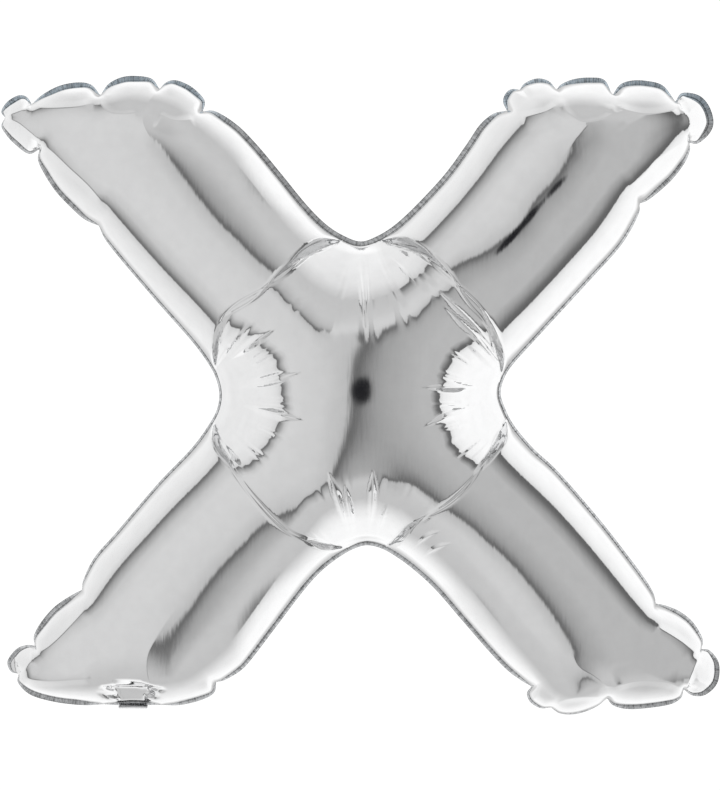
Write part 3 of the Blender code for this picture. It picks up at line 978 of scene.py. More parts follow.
def fanned(plan: PlanMesh, height: Array) -> Array:
    """Let the gathered film climb straight out of each notch, like a fan."""
    released = ARM_RELEASE * beyond_middle(plan.points)
    for fan in NOTCH_FANS:
        climb = fan.climb(plan.points, plan.depth) + released
        height = eased_least(height, climb, fan.blend * MM)
    return np.maximum(height, 0)


def panelled(plan: PlanMesh, height: Array) -> Array:
    """Draw the film flat where the arm's foot runs out into the filling neck."""
    x, z = plan.points.T
    # The panel's sides waver in two waves, so that they don't look ruled
    ragged = 3 * MM * np.sin(z / (3.7 * MM)) + 2 * MM * np.sin(z / (1.9 * MM) + x / (9 * MM))
    beside = np.maximum(np.abs(x - NECK_X) - NECK_WIDTH / 2 - ragged, 0)
    beyond = np.maximum(plan.depth - PANEL_REACH - ragged, 0)
    panel = PANEL_FOOT + PANEL_SLOPE * plan.depth
    panel = panel + PANEL_END_SLOPE * beyond + PANEL_SIDE_SLOPE * beside
    panel = panel + PANEL_TOP_SLOPE * np.maximum(z - PANEL_TOP, 0)
    return eased_least(height, panel, PANEL_BLEND)


def twisted(points: Array) -> Array:
    """How much the dome leans and twists, which slants what it mirrors."""
    x, z = points.T
    beside, above = DOME_TWIST_REACH
    twist = DOME_TWIST * x * z**3 * np.exp(-((x / beside) ** 2) - (z / above) ** 4)
    lean = np.exp(-(x**2 + z**2) / DOME_LEAN_REACH**2)
    return twist - lean * (DOME_LEAN[0] * x + DOME_LEAN[1] * z)


def arm_level(points: Array) -> Array:
    """How much of its height the film keeps along each arm, which falls off towards its end."""
    level = np.ones(len(points))
    for arm in ARM_LEVELS:
        towards = np.array(arm.towards) / np.linalg.norm(arm.towards)
        along = points @ towards / MM
        beside = np.abs(points @ np.array([towards[1], -towards[0]])) / MM
        share = eased(along - beside, 0, LEVEL_EASE)
        places, levels = smooth_curve(np.column_stack([LEVEL_PLACES, arm.levels]), LEVEL_STEP).T
        level += share * (np.interp(along, places, levels) - 1)
    return level


def crease_strength(taper: Taper, t: Array) -> Array:
    """How strong a crease is at each share t of its length."""
    if taper is Taper.EVEN:
        # full but for its tips
        return eased(t, 0, 0.06) * eased(1 - t, 0, 0.06)
    if taper is Taper.FADING:
        # full at its start
        return (1 - t) ** 1.5
    if taper is Taper.RIDGE:
        # full but for its ends, where a little of it is left
        return eased(t, -0.05, 0.12) * eased(1 - t, -0.05, 0.12)
    if taper is Taper.RUNOUT:
        # half at its start, strongest a little further on
        return eased(t, -0.2, 0.2) * (1 - t) ** 1.2
    # a blade is full past its middle and runs out fast
    return np.minimum(eased(t, 0, 0.55), np.clip((1 - t) / 0.3, 0, 1))


@dataclass
class FoldPattern:
    """Every crease of a foil, as lines for the triangles and the pressing out.

    Attributes:
        outline: the seam that the puckers stand on.
        step: distance between points along a crease.
    """

    outline: SeamOutline
    step: float = 1.6 * MM
    creases: list[Crease] = field(init=False)
    folds: list[Fold] = field(init=False)

    def __post_init__(self) -> None:
        """Gather the puckers' creases, the arms' and the notches'."""
        self.creases = []
        self.folds = []
        for crease in (*self._pucker_creases(), *ARM_CREASES, *NOTCH_CREASES):
            for line in crease.strands(self.step):
                self._add(crease, line)
        for crease in (*LOBE_EDGES, *RIDGE_ENDS):
            for line in crease.strands(self.step):
                self._add(crease, self.outline.unlobed(line))

    def _pucker_creases(self) -> list[Crease]:
        """One crease inwards from every pucker, square to the body's edge."""
        body = self.outline.body
        inwards = side_normals(body, closed=True)
        creases = []
        for index in self.outline.puckers:
            # from just inside the edge, past its middle, to its end
            path = body[index] + np.outer([0.02, 0.5, 1], inwards[index]) * PUCKER_REACH
            creases.append(Crease(tuple(map(tuple, path / MM)), 0, 0, Taper.FADING, pull=PUCKER_PULL))
        return creases

    def _add(self, crease: Crease, line: Array) -> None:
        """Add a crease's line, with its pull at each point."""
        pull = crease.pull * crease_strength(crease.taper, np.linspace(0, 1, len(line)))
        self.creases.append(crease)
        self.folds.append(Fold(line, pull))

    def rise(self, points: Array, depth: Array) -> Array:
        """How far the creases' crests stand up at each point.

        Args:
            points: the points of the plan.
            depth: how far in from the body's edge each is.

        Returns:
            The rise of each point.
        """
        rise = np.zeros(len(points))
        for crease, fold in zip(self.creases, self.folds):
            near = in_box(points, fold.line, crease.half_width * MM * max(1, crease.lean))
            if crease.rise and len(near):
                rise[near] += self._crest(crease, fold.line, points[near], depth[near])
        return rise

    def _crest(self, crease: Crease, line: Array, points: Array, depth: Array) -> Array:
        """How far one crease's crest stands up at points near it.

        Args:
            crease: the crease.
            line: its line on the plan.
            points: the points near it.
            depth: how far in from the body's edge each is.

        Returns:
            The crest's rise at each point.
        """
        reach = crease.half_width * MM
        dense = evenly_spaced(line, CREST_STEP)
        index, away = Nearby(dense).find(points)
        strength = crease_strength(crease.taper, index / (len(dense) - 1))
        across = np.clip(away / (reach * np.maximum(strength, LEAST_WIDTH)), 0, 1)
        if crease.taper is Taper.BLADE:
            shape = 1 - across
        elif crease.taper is Taper.RUNOUT:
            shape = np.clip(1 - away / reach, 0, 1) ** 2
        elif crease.taper is Taper.RIDGE:
            inner = depth > self.outline.place(dense)[0][index]
            foot = reach * np.where(inner, crease.lean, 1)
            shape = (1 - np.clip(away / foot, 0, 1)) ** RIDGE_POWER
        else:
            shape = (1 + np.cos(np.pi * across)) / 2
        return crease.rise * MM * strength * shape


# Finishes


class NodeSketch:
    """Short ways to add and join the nodes of one tree."""

    def __init__(self, tree: bpy.types.NodeTree) -> None:
        """Keep the tree."""
        self.tree = tree

    def add(
        self, kind: str, inputs: dict[object, object] | None = None, **settings: object
    ) -> bpy.types.Node:
        """Add a node.

        Args:
            kind: the node's type.
            inputs: for an input's name or index, the socket to join to it or its plain value.
            settings: the node's properties.

        Returns:
            The node.
        """
        node = self.tree.nodes.new(kind)
        for name, value in settings.items():
            setattr(node, name, value)
        self.feed(node, inputs or {})
        return node

    def feed(self, node: bpy.types.Node, inputs: dict[object, object]) -> None:
        """Join a socket to each of a node's inputs, or set it to a plain value."""
        for name, value in inputs.items():
            if isinstance(value, Socket):
                self.tree.links.new(value, node.inputs[name])
            else:
                node.inputs[name].default_value = value

    def math(self, operation: str, *values: object) -> Socket:
        """The result of a Math node over sockets and numbers."""
        return self.add("ShaderNodeMath", dict(enumerate(values)), operation=operation).outputs[0]

    def mix(self, factor: object, first: object, second: object, kind: str = "MIX") -> Socket:
        """Two colours mixed by a factor, each a socket or a value."""
        inputs = {0: factor, 6: first, 7: second}
        return self.add("ShaderNodeMix", inputs, data_type="RGBA", blend_type=kind).outputs[2]

    def noise(self, place: Socket, scale: object, detail: float) -> Socket:
        """A Noise Texture's grey over a place."""
        inputs = {"Vector": place, "Scale": scale, "Detail": detail}
        return self.add("ShaderNodeTexNoise", inputs).outputs["Fac"]

    def share(self, value: Socket, low: float, high: float, kind: str = "LINEAR") -> Socket:
        """How far a value is from low to high, from 0 to 1."""
        inputs = {0: value, 1: low, 2: high}
        return self.add("ShaderNodeMapRange", inputs, interpolation_type=kind).outputs[0]

    def split(self, vector: Socket) -> tuple[Socket, ...]:
        """A vector's three parts."""
        return tuple(self.add("ShaderNodeSeparateXYZ", {0: vector}).outputs)

    def place(self) -> Socket:
        """Each point's place in its object's space."""
        return self.add("ShaderNodeTexCoord").outputs["Object"]

    def ramp(self, factor: Socket, stops: Pairs, kind: str = "LINEAR") -> Socket:
        """Add a Color Ramp of greys.

        Args:
            factor: what runs along the ramp.
            stops: (place, grey) in order.
            kind: how the ramp passes between its stops.

        Returns:
            The ramp's colour.
        """
        node = self.add("ShaderNodeValToRGB", {0: factor})
        node.color_ramp.interpolation = kind
        elements = node.color_ramp.elements
        while len(elements) > 1:
            elements.remove(elements[-1])
        for index, (place, grey) in enumerate(stops):
            element = elements[0] if index == 0 else elements.new(place)
            element.position = place
            element.color = (grey, grey, grey, 1)
        return node.outputs[0]


def new_material(name: str) -> tuple[Material, NodeSketch, bpy.types.Node]:
    """Make a material with a bare Principled shader.

    Args:
        name: the material's name.

    Returns:
        The material, its tree and its shader node.
    """
    made = bpy.data.materials.new(name)
    made.use_nodes = True
    return made, NodeSketch(made.node_tree), made.node_tree.nodes["Principled BSDF"]


def new_group(name: str, kind: str, inputs: dict[str, str], outputs: dict[str, str]) -> NodeSketch:
    """Make an empty node group.

    Args:
        name: the group's name.
        kind: which editor it belongs to, Shader or Geometry.
        inputs: the kind of each named input.
        outputs: the kind of each named output.

    Returns:
        The group's tree.
    """
    group = bpy.data.node_groups.new(name, f"{kind}NodeTree")
    for way, sockets in (("INPUT", inputs), ("OUTPUT", outputs)):
        for label, holds in sockets.items():
            group.interface.new_socket(label, in_out=way, socket_type=f"NodeSocket{holds}")
    return NodeSketch(group)


# The fine ripples' angle to the upright, in degrees, the scale of their pattern along each
# axis, and the product of x and z over which their slant changes from arm to arm
RIPPLE_SLANT = 51
RIPPLE_STRETCH = (1, 0.25, 0.14)
RIPPLE_TURN = 0.002

# How many broad waves, scuffs and clouds there are to a metre
WAVE_GRAIN = 16
SCUFF_GRAIN = 60
CLOUD_GRAIN = 90


def film_ripples() -> bpy.types.NodeTree:
    """A node group for the fine ripples that lie across the arms of a film under tension.

    Returns:
        The group. Its inputs are the ripples' pitch and height and the height of the broad
        waves under them, all in metres, and its outputs the film's height and its scuffs.
    """
    tree = new_group(
        "film_ripples",
        "Shader",
        {"Pitch": "Float", "Ripple": "Float", "Wave": "Float"},
        {"Height": "Float", "Scuffs": "Float"},
    )
    given = tree.add("NodeGroupInput").outputs
    place = tree.place()
    x, _, z = tree.split(place)
    frequency = tree.math("DIVIDE", 1, given["Pitch"])
    ripples = []
    for slant in (RIPPLE_SLANT, -RIPPLE_SLANT):
        turning = {"Rotation": (0, math.radians(slant), 0), "Scale": RIPPLE_STRETCH}
        turned = tree.add("ShaderNodeMapping", {"Vector": place, **turning})
        ripples.append(tree.noise(turned.outputs[0], frequency, 1))
    diagonal = tree.share(tree.math("MULTIPLY", x, z), -RIPPLE_TURN, RIPPLE_TURN, "SMOOTHSTEP")
    fine = tree.math("MULTIPLY", tree.mix(diagonal, *ripples), given["Ripple"])
    broad = tree.math("MULTIPLY", tree.noise(place, WAVE_GRAIN, 1), given["Wave"])
    scuffs = tree.noise(place, SCUFF_GRAIN, 4)
    tree.add("NodeGroupOutput", {"Height": tree.math("ADD", fine, broad), "Scuffs": scuffs})
    return tree.tree


@dataclass(frozen=True)
class FoilFilm:
    """A film with a thin metal coat under clear plastic.

    Attributes:
        name: the material's name.
        colour: the metal's colour.
        shade: its colour where the film is hazed by scuffs.
        roughness: how blurred its mirror image is, where it is clear and where it is hazed.
        haze: where in the scuffs' pattern the haze begins and where it is full.
        pitch: from one fine ripple to the next.
        ripple: how high the fine ripples are.
        wave: how high the broad waves are.
    """

    name: str
    colour: tuple[float, float, float]
    shade: tuple[float, float, float]
    roughness: tuple[float, float]
    haze: tuple[float, float]
    pitch: float
    ripple: float
    wave: float

    def build(self, ripples: bpy.types.NodeTree) -> Material:
        """Make the material.

        Args:
            ripples: the film's node group.

        Returns:
            The material.
        """
        made, tree, shader = new_material(self.name)
        sizes = {"Pitch": self.pitch, "Ripple": self.ripple, "Wave": self.wave}
        film = tree.add("ShaderNodeGroup", sizes, node_tree=ripples).outputs
        haze = tree.ramp(film["Scuffs"], ((self.haze[0], 0), (self.haze[1], 1)))
        rough = tree.add("ShaderNodeMapRange", {0: haze, 3: self.roughness[0], 4: self.roughness[1]})
        bump = tree.add("ShaderNodeBump", {"Distance": 1, "Height": film["Height"]})
        metal = tree.mix(haze, (*self.colour, 1), (*self.shade, 1))
        tree.feed(shader, {"Metallic": 1, "Base Color": metal})
        tree.feed(shader, {"Roughness": rough.outputs[0], "Normal": bump.outputs[0]})
        return made


# The balloon's own film, drawn taut
TAUT_FILM = FoilFilm(
    name="silver_foil_film",
    colour=(0.94, 0.942, 0.945),
    shade=(0.91, 0.911, 0.915),
    roughness=(0.06, 0.085),
    haze=(0.35, 0.7),
    pitch=4.2 * MM,
    ripple=0.03 * MM,
    wave=0.2 * MM,
)

# The neck's film: the same, but slack, creased and duller
SLACK_FILM = FoilFilm(
    name="slack_neck_film",
    colour=(0.90, 0.90, 0.91),
    shade=(0.80, 0.80, 0.81),
    roughness=(0.22, 0.34),
    haze=(0.4, 0.62),
    pitch=6 * MM,
    ripple=0.25 * MM,
    wave=0.6 * MM,
)


@dataclass(frozen=True)
class CrimpedMargin:
    """The welded margin: the same film, matted and speckled by the welding bar.

    Attributes:
        colour: the metal's colour on most of the rim.
        painted_sky_reflection: a painted bluish sky reflection along the tops of the upper arms.
        sky_reflection_heights: the heights over which the painted reflection comes in.
        crest_colour: the colour of the crimp's raised ribs.
        roughness: how blurred its mirror image is.
        grain: how many specks there are to a metre.
        specks: the greys that the specks' pattern turns into.
        lines: the greys from the seam to the edge, with painted shade along both.
    """

    colour: tuple[float, float, float] = (0.72, 0.73, 0.74)
    # painted reflection of a bluish sky along the tops of the upper arms
    painted_sky_reflection: tuple[float, float, float] = (0.52, 0.62, 0.70)
    sky_reflection_heights: tuple[float, float] = (0.335, 0.365)
    crest_colour: tuple[float, float, float] = (0.50, 0.53, 0.56)
    roughness: float = 0.3
    grain: float = 330
    specks: Pairs = ((0.36, 0.45), (0.5, 0.78), (0.64, 1))
    # painted shade: dark bands along the seam and the rim's outer edge
    lines: Pairs = ((0, 0.15), (0.1, 0.25), (0.2, 1), (0.82, 1), (0.94, 0.45), (1, 0.25))

    def build(self) -> Material:
        """Make the material, which reads the rim's own places from its attribute."""
        made, tree, shader = new_material("welded_margin")
        place = tree.add("ShaderNodeAttribute", attribute_name=RIM_PLACE).outputs["Vector"]
        streaks = tree.add("ShaderNodeMapping", {"Vector": place, "Scale": (1, 1, 0.4)})
        speck = tree.noise(streaks.outputs[0], self.grain, 2)
        across = tree.math("DIVIDE", tree.split(place)[2], SeamOutline.rim_width)
        # paint the sky's reflection in along the tops of the upper arms, by height
        top = tree.share(tree.split(tree.place())[2], *self.sky_reflection_heights)
        metal = tree.mix(top, (*self.colour, 1), (*self.painted_sky_reflection, 1))
        # random specks darken the metal, then painted shade darkens it along the seam and edge
        for pattern, stops in ((speck, self.specks), (across, self.lines)):
            metal = tree.mix(1, metal, tree.ramp(pattern, stops), "MULTIPLY")
        bump = tree.add("ShaderNodeBump", {"Distance": 0.2 * MM, "Height": speck})
        tree.feed(shader, {"Metallic": 1, "Roughness": self.roughness})
        tree.feed(shader, {"Base Color": metal, "Normal": bump.outputs[0]})
        return made

    def crests(self) -> Material:
        """Make the material of the raised ribs, worn brighter in places."""
        made, tree, shader = new_material("crimp_crests")
        worn = tree.ramp(tree.noise(tree.place(), self.grain, 2), ((0.35, 0), (0.65, 1)))
        metal = tree.mix(worn, (*self.colour, 1), (*self.crest_colour, 1))
        tree.feed(shader, {"Metallic": 1, "Roughness": self.roughness, "Base Color": metal})
        return made


@dataclass(frozen=True)
class LinerFilm:
    """The valve's liner: milky film, cloudy and softly shining.

    Attributes:
        colour: its colour where it is clear.
        cloud: its colour where it is cloudy.
        roughness: how matt it is.
        coat: how strongly it shines.
    """

    colour: tuple[float, float, float] = (0.72, 0.75, 0.76)
    cloud: tuple[float, float, float] = (0.88, 0.89, 0.89)
    roughness: float = 0.34
    coat: float = 0.25

    def build(self) -> Material:
        """Make the material."""
        made, tree, shader = new_material("milky_liner_film")
        cloudy = tree.ramp(tree.noise(tree.place(), CLOUD_GRAIN, 3), ((0.3, 0), (0.7, 1)))
        paint = tree.mix(cloudy, (*self.colour, 1), (*self.cloud, 1))
        tree.feed(shader, {"Roughness": self.roughness, "Coat Weight": self.coat, "Base Color": paint})
        return made


# Sub-assemblies


def linked(name: str, data: bpy.types.ID) -> bpy.types.Object:
    """Make an object of a mesh or a camera and link it to the scene."""
    made = bpy.data.objects.new(name, data)
    bpy.context.scene.collection.objects.link(made)
    return made


def mesh_object(
    name: str, vertices: Array, faces: Array, finish: Material, closed: bool = False
) -> bpy.types.Object:
    """Make a smooth-shaded mesh object at the origin.

    Args:
        name: the piece's name.
        vertices: its points.
        faces: its faces, as indices of points.
        finish: its material.
        closed: whether it closes round a body, so that its faces are turned outwards and its
            sharp edges are kept.

    Returns:
        The object, linked to the scene.
    """
    mesh = bpy.data.meshes.new(name)
    mesh.from_pydata(vertices.tolist(), [], faces.tolist())
    mesh.shade_smooth()
    mesh.materials.append(finish)
    if closed:
        turned = bmesh.new()
        turned.from_mesh(mesh)
        bmesh.ops.recalc_face_normals(turned, faces=turned.faces)
        turned.to_mesh(mesh)
        turned.free()
        mesh.set_sharp_from_angle(angle=SHARP_ANGLE)
    return linked(name, mesh)


@dataclass
class Envelope:
    """The two foils that the gas presses out.

    Attributes:
        outline: the seam.
        dome_limit: how wide a form has to be before its middle flattens.
        weld_gap: from the seam's middle plane to each foil's foot.
        crease_ease: how far in from the body's edge the creases come in.
    """

    outline: SeamOutline
    dome_limit: float = 128 * MM
    weld_gap: float = 0.15 * MM
    crease_ease: float = 6 * MM

    def build(self, finish: Material) -> list[bpy.types.Object]:
        """Make the front foil and the back foil."""
        points, faces, height = self.form()
        return [self._foil(face, points, faces, height, finish) for face in Face]

    def form(self) -> tuple[Array, Array, Array]:
        """Work out the foils' form.

        Returns:
            Its points on the seam's plane, the triangles between them, and their heights.
        """
        pattern = FoldPattern(self.outline)
        plan = PlanMesh(self.outline, pattern.folds)
        height = PressedSkin(plan, pattern.folds, 1 / self.dome_limit**2).heights()
        height = panelled(plan, fanned(plan, height))
        height = height * arm_level(plan.points) + twisted(plan.points)
        rise = pattern.rise(plan.points, plan.depth)
        height = height + rise * eased(plan.depth, 0, self.crease_ease)
        points = self.outline.lobed(plan)
        height = pillowed(self.outline, points, height)
        height[plan.border] = 0
        return points, plan.faces, height

    def _foil(
        self, face: Face, points: Array, faces: Array, height: Array, finish: Material
    ) -> bpy.types.Object:
        """Make one foil from the heights over its plan."""
        depth = face.value * (self.weld_gap + height)
        vertices = np.column_stack([points[:, 0], depth, points[:, 1]])
        corners = vertices[faces[0]]
        turned = np.cross(corners[1] - corners[0], corners[2] - corners[0])[1]
        if turned * face.value < 0:
            faces = faces[:, ::-1]
        return mesh_object(f"{face.name.lower()}_film", vertices, faces, finish)


@dataclass
class SeamMargin:
    """The rim outside the seam, where the two films are welded together and curl a little.

    Attributes:
        outline: the seam and the rim's edge.
        thickness: both films and the weld.
        rows: divisions across the rim.
        inner_share: where the strip starts between the seam and the edge, just under the foils.
        curl_power: how the curl grows from the seam to the edge.
        rib_pitch: from one crimped rib to the next.
        rib_radius: half a rib's width.
        rib_shares: where a rib starts, bends and ends between the seam and the edge.
    """

    outline: SeamOutline
    thickness: float = 0.3 * MM
    rows: int = 4
    inner_share: float = -0.06
    curl_power: float = 1.6
    rib_pitch: float = 3.0 * MM
    rib_radius: float = 0.42 * MM
    rib_shares: tuple[float, float, float] = (0.12, 0.6, 0.97)

    def _across(self, share: float) -> Array:
        """The line along the rim at a share of the way from the seam to the edge."""
        outline = self.outline
        plan = outline.seam + (outline.edge - outline.seam) * share
        curl = np.sqrt(np.maximum(outline.rim_width**2 - outline.shown**2, 0))
        y = curl * max(share, 0) ** self.curl_power
        return np.column_stack([plan[:, 0], y, plan[:, 1]])

    def build(self, finish: Material) -> bpy.types.Object:
        """Make the rim as a closed strip."""
        count = len(self.outline.edge)
        sheet = [self._across(s) for s in np.linspace(self.inner_share, 1, self.rows + 1)]
        half = np.array([0, self.thickness / 2, 0])
        vertices = np.vstack([row + side * half for side in (-1, 1) for row in sheet])
        order = list(range(self.rows + 1)) + list(range(2 * self.rows + 1, self.rows, -1))
        here = np.arange(count)
        beyond = (here + 1) % count
        faces = []
        for a, b in zip(order, order[1:] + order[:1]):
            corners = (a * count + here, a * count + beyond, b * count + beyond, b * count + here)
            faces.append(np.column_stack(corners))
        made = mesh_object("welded_margin", vertices, np.vstack(faces), finish, closed=True)
        places = made.data.attributes.new(RIM_PLACE, "FLOAT_VECTOR", "POINT")
        places.data.foreach_set("vector", self._places().ravel())
        return made

    def _places(self) -> Array:
        """Where each point of the strip lies on the rim, for its speckles."""
        edge = self.outline.edge
        steps = np.linalg.norm(np.roll(edge, -1, axis=0) - edge, axis=1)
        turn = 2 * np.pi * (np.cumsum(steps) - steps) / steps.sum()
        radius = steps.sum() / (2 * np.pi)
        circle = (radius * np.cos(turn), radius * np.sin(turn))
        widths = np.linspace(0, self.outline.rim_width, self.rows + 1)
        rows = [np.column_stack([*circle, np.full(len(turn), width)]) for width in widths]
        return np.vstack(rows + rows)

    def ribs(self, finish: Material) -> bpy.types.Object:
        """Make the welding bar's fine ribs across the rim, with Geometry Nodes."""
        rows = [self._across(share) for share in self.rib_shares]
        outer = rows[-1]
        lines = []
        for start in range(len(outer)):
            stop = (start + 1) % len(outer)
            count = round(np.linalg.norm(outer[stop] - outer[start]) / self.rib_pitch)
            for place in (np.arange(count) + 0.5) / max(count, 1):
                lines.append([row[start] * (1 - place) + row[stop] * place for row in rows])
        starts = np.arange(len(lines)) * len(rows)
        edges = np.vstack([np.column_stack([starts + i, starts + i + 1]) for i in (0, 1)])
        mesh = bpy.data.meshes.new("crimp_ribs")
        mesh.from_pydata(np.vstack(lines).tolist(), edges.tolist(), [])
        guide = linked("crimp_lines", mesh)
        return grown(guide, "crimp_ribs", rib_tree(finish), {"Rib radius": self.rib_radius})


@dataclass(frozen=True)
class NeckLayer:
    """One film of the filling neck.

    Attributes:
        name: the piece's name.
        level: how many layers it lies out from the first.
        width: its width.
        longer: how far it runs on past the others.
    """

    name: str
    level: int
    width: float
    longer: float = 0


@dataclass
class FillingNeck:
    """The neck's two films and the valve's liner between them, folded up behind the arm.

    Attributes:
        pitch: from one layer to the next.
        thickness: one film's thickness.
        step: the distance between points along the neck.
        columns: divisions across it.
        slack: how far the films stand off their plain route in soft creases.
        waver: how much narrower they get in places, as a share.
    """

    pitch: float = 0.9 * MM
    thickness: float = 0.2 * MM
    step: float = 1.5 * MM
    columns: int = 32
    slack: float = 0.4 * MM
    waver: float = 0.012

    def build(self, layer: NeckLayer, finish: Material) -> bpy.types.Object:
        """Make one film as a closed thin sheet."""
        route = np.array(NECK_ROUTE) * MM
        last = route[-1] - route[-2]
        route[-1] += layer.longer * last / np.linalg.norm(last)
        line = smooth_curve(route, self.step)
        outwards = side_normals(line)
        line = line + layer.level * self.pitch * outwards
        places = np.arange(len(line)) * self.step
        share = np.linspace(-0.5, 0.5, self.columns + 1)
        along, across = np.meshgrid(places, share * layer.width, indexing="ij")
        off = self._creases(along, across)
        middle = np.empty((*along.shape, 3))
        middle[..., 0] = NECK_X + across * (1 - self.waver * (1 + np.sin(along / (5 * MM))))
        middle[..., 1:] = line[:, None] + off[..., None] * outwards[:, None]
        normals = np.zeros_like(middle)
        normals[..., 1:] = outwards[:, None]
        return thin_sheet(layer.name, middle, normals * self.thickness / 2, finish)

    def _creases(self, along: Array, across: Array) -> Array:
        """How far the films' shared creases lift them at each place."""
        # two sets of waves, each bent by the other's run, so that they look crumpled
        lengthwise = np.sin(across / (2.1 * MM) + 1.4 * np.sin(along / (13 * MM)))
        crosswise = np.sin(along / (3.4 * MM) + 1.8 * np.sin(across / (6 * MM)))
        return self.slack * eased(along, 2 * MM, 16 * MM) * (0.6 * lengthwise + 0.4 * crosswise)


def thin_sheet(name: str, middle: Array, half: Array, finish: Material) -> bpy.types.Object:
    """Make a closed thin sheet over a grid of points.

    Args:
        name: the piece's name.
        middle: the grid's points, by row and column.
        half: from each point to the sheet's outer side.
        finish: its material.

    Returns:
        The object, linked to the scene.
    """
    rows, columns = middle.shape[:2]
    count = rows * columns
    vertices = np.vstack([(middle - half).reshape(-1, 3), (middle + half).reshape(-1, 3)])
    index = np.arange(count).reshape(rows, columns)
    corners = (index[:-1, :-1], index[1:, :-1], index[1:, 1:], index[:-1, 1:])
    quads = np.stack(corners, axis=-1).reshape(-1, 4)
    loop = np.concatenate([index[0], index[1:, -1], index[-1, -2::-1], index[-2:0:-1, 0]])
    beyond = np.roll(loop, -1)
    rim = np.column_stack([loop, beyond, beyond + count, loop + count])
    faces = np.vstack([quads, quads + count, rim])
    return mesh_object(name, vertices, faces, finish, closed=True)


def rib_tree(finish: Material) -> bpy.types.NodeTree:
    """Geometry Nodes that make each loose line a rib with closed ends."""
    inputs = {"Geometry": "Geometry", "Rib radius": "Float"}
    tree = new_group("crimp_ribs", "Geometry", inputs, {"Geometry": "Geometry"})
    given = tree.add("NodeGroupInput").outputs
    curves = tree.add("GeometryNodeMeshToCurve", {"Mesh": given["Geometry"]})
    circle = {"Resolution": 4, "Radius": given["Rib radius"]}
    profile = tree.add("GeometryNodeCurvePrimitiveCircle", circle)
    shapes = {"Curve": curves.outputs["Curve"], "Profile Curve": profile.outputs["Curve"]}
    ribs = tree.add("GeometryNodeCurveToMesh", {**shapes, "Fill Caps": True})
    realized = tree.add("GeometryNodeRealizeInstances", {"Geometry": ribs.outputs["Mesh"]})
    joined = {"Geometry": realized.outputs["Geometry"], "Material": finish}
    dressed = tree.add("GeometryNodeSetMaterial", joined)
    tree.add("NodeGroupOutput", {"Geometry": dressed.outputs["Geometry"]})
    return tree.tree


def grown(
    guide: bpy.types.Object, name: str, tree: bpy.types.NodeTree, values: dict[str, float]
) -> bpy.types.Object:
    """Run Geometry Nodes over a guide and keep the result as a plain mesh.

    Args:
        guide: the object that the nodes read, which is removed afterwards.
        name: the new piece's name.
        tree: the nodes.
        values: the tree's inputs by name.

    Returns:
        The new piece, linked to the scene.
    """
    modifier = guide.modifiers.new(name, "NODES")
    modifier.node_group = tree
    for item in tree.interface.items_tree:
        if item.in_out == "INPUT" and item.name in values:
            modifier[item.identifier] = values[item.name]
    ready = guide.evaluated_get(bpy.context.evaluated_depsgraph_get())
    mesh = bpy.data.meshes.new_from_object(ready)
    mesh.name = name
    made = linked(name, mesh)
    bpy.data.objects.remove(guide)
    return made


# The studio


# What the tent shows at angles off the way to the camera: degrees, and the grey as displayed
LEFT_WALL = (
    (0, 0.82), (50, 0.82), (64, 0.77), (74, 0.64), (81, 0.44), (84, 0.40),
    (84.5, 0.80), (95, 0.87), (115, 0.91), (140, 0.94), (156, 0.82), (180, 0.74),
)
RIGHT_WALL = (
    (0, 0.71), (55, 0.71), (66, 0.60), (76, 0.42), (84, 0.35),
    (84.5, 0.86), (93, 0.93), (110, 0.98), (140, 1.0), (156, 0.76), (180, 0.66),
)
UPRIGHT = (
    (0, 0.74), (50, 0.78), (70, 0.76), (84, 0.75), (95, 0.83), (105, 0.90),
    (120, 0.97), (140, 1.0), (156, 0.80), (180, 0.72),
)

# How the tent's front is shaded at angles to the side of the camera, from left to right
FRONT_SHADE = (
    (-180, 1), (-30, 1), (-12, 0.97), (-0.4, 0.88), (0.4, 0.51), (2, 0.55), (4, 0.68),
    (8, 0.84), (12, 0.90), (18, 0.95), (26, 1.0), (180, 1),
)

# The shade's end off the way to the camera, and the heights between which it fades, as shares
SHADE_ENDS = (70, 84)
SHADE_HEIGHTS = (0.72, 0.48)

# How steep a direction is where the upright parts take over from the walls, how much sooner
# they do so on the right and below, and how far off the camera they begin
UPRIGHT_STEEPNESS = (0.90, 0.98)
UPRIGHT_SOONER = 0.195
UPRIGHT_STARTS = (36, 62)

# The camera's dark reflection: how far to the right of its stand it is, where it starts to fade
# and where it ends, and its colour
SPOT_ASIDE = 3.7
SPOT_ENDS = (2.8, 4.6)
SPOT_GREYS = (0.13, 0.13, 0.14)

# The share of the light that the film reflects, so that greys are as they show in it
FILM_REFLECTS = 0.93
HALF_TURN = 180

# The photograph's height in pixels, and what a pixel spans at the seam, in millimetres
PHOTO_HEIGHT = 790
PIXEL_SPAN = 1.25


def display(grey: float) -> float:
    """The light that shows as the given display grey."""
    return grey**2.2


def angle_stops(greys: Pairs) -> Pairs:
    """Ramp stops from angles off the way to the camera and display greys."""
    return tuple((angle / HALF_TURN, display(grey)) for angle, grey in greys)


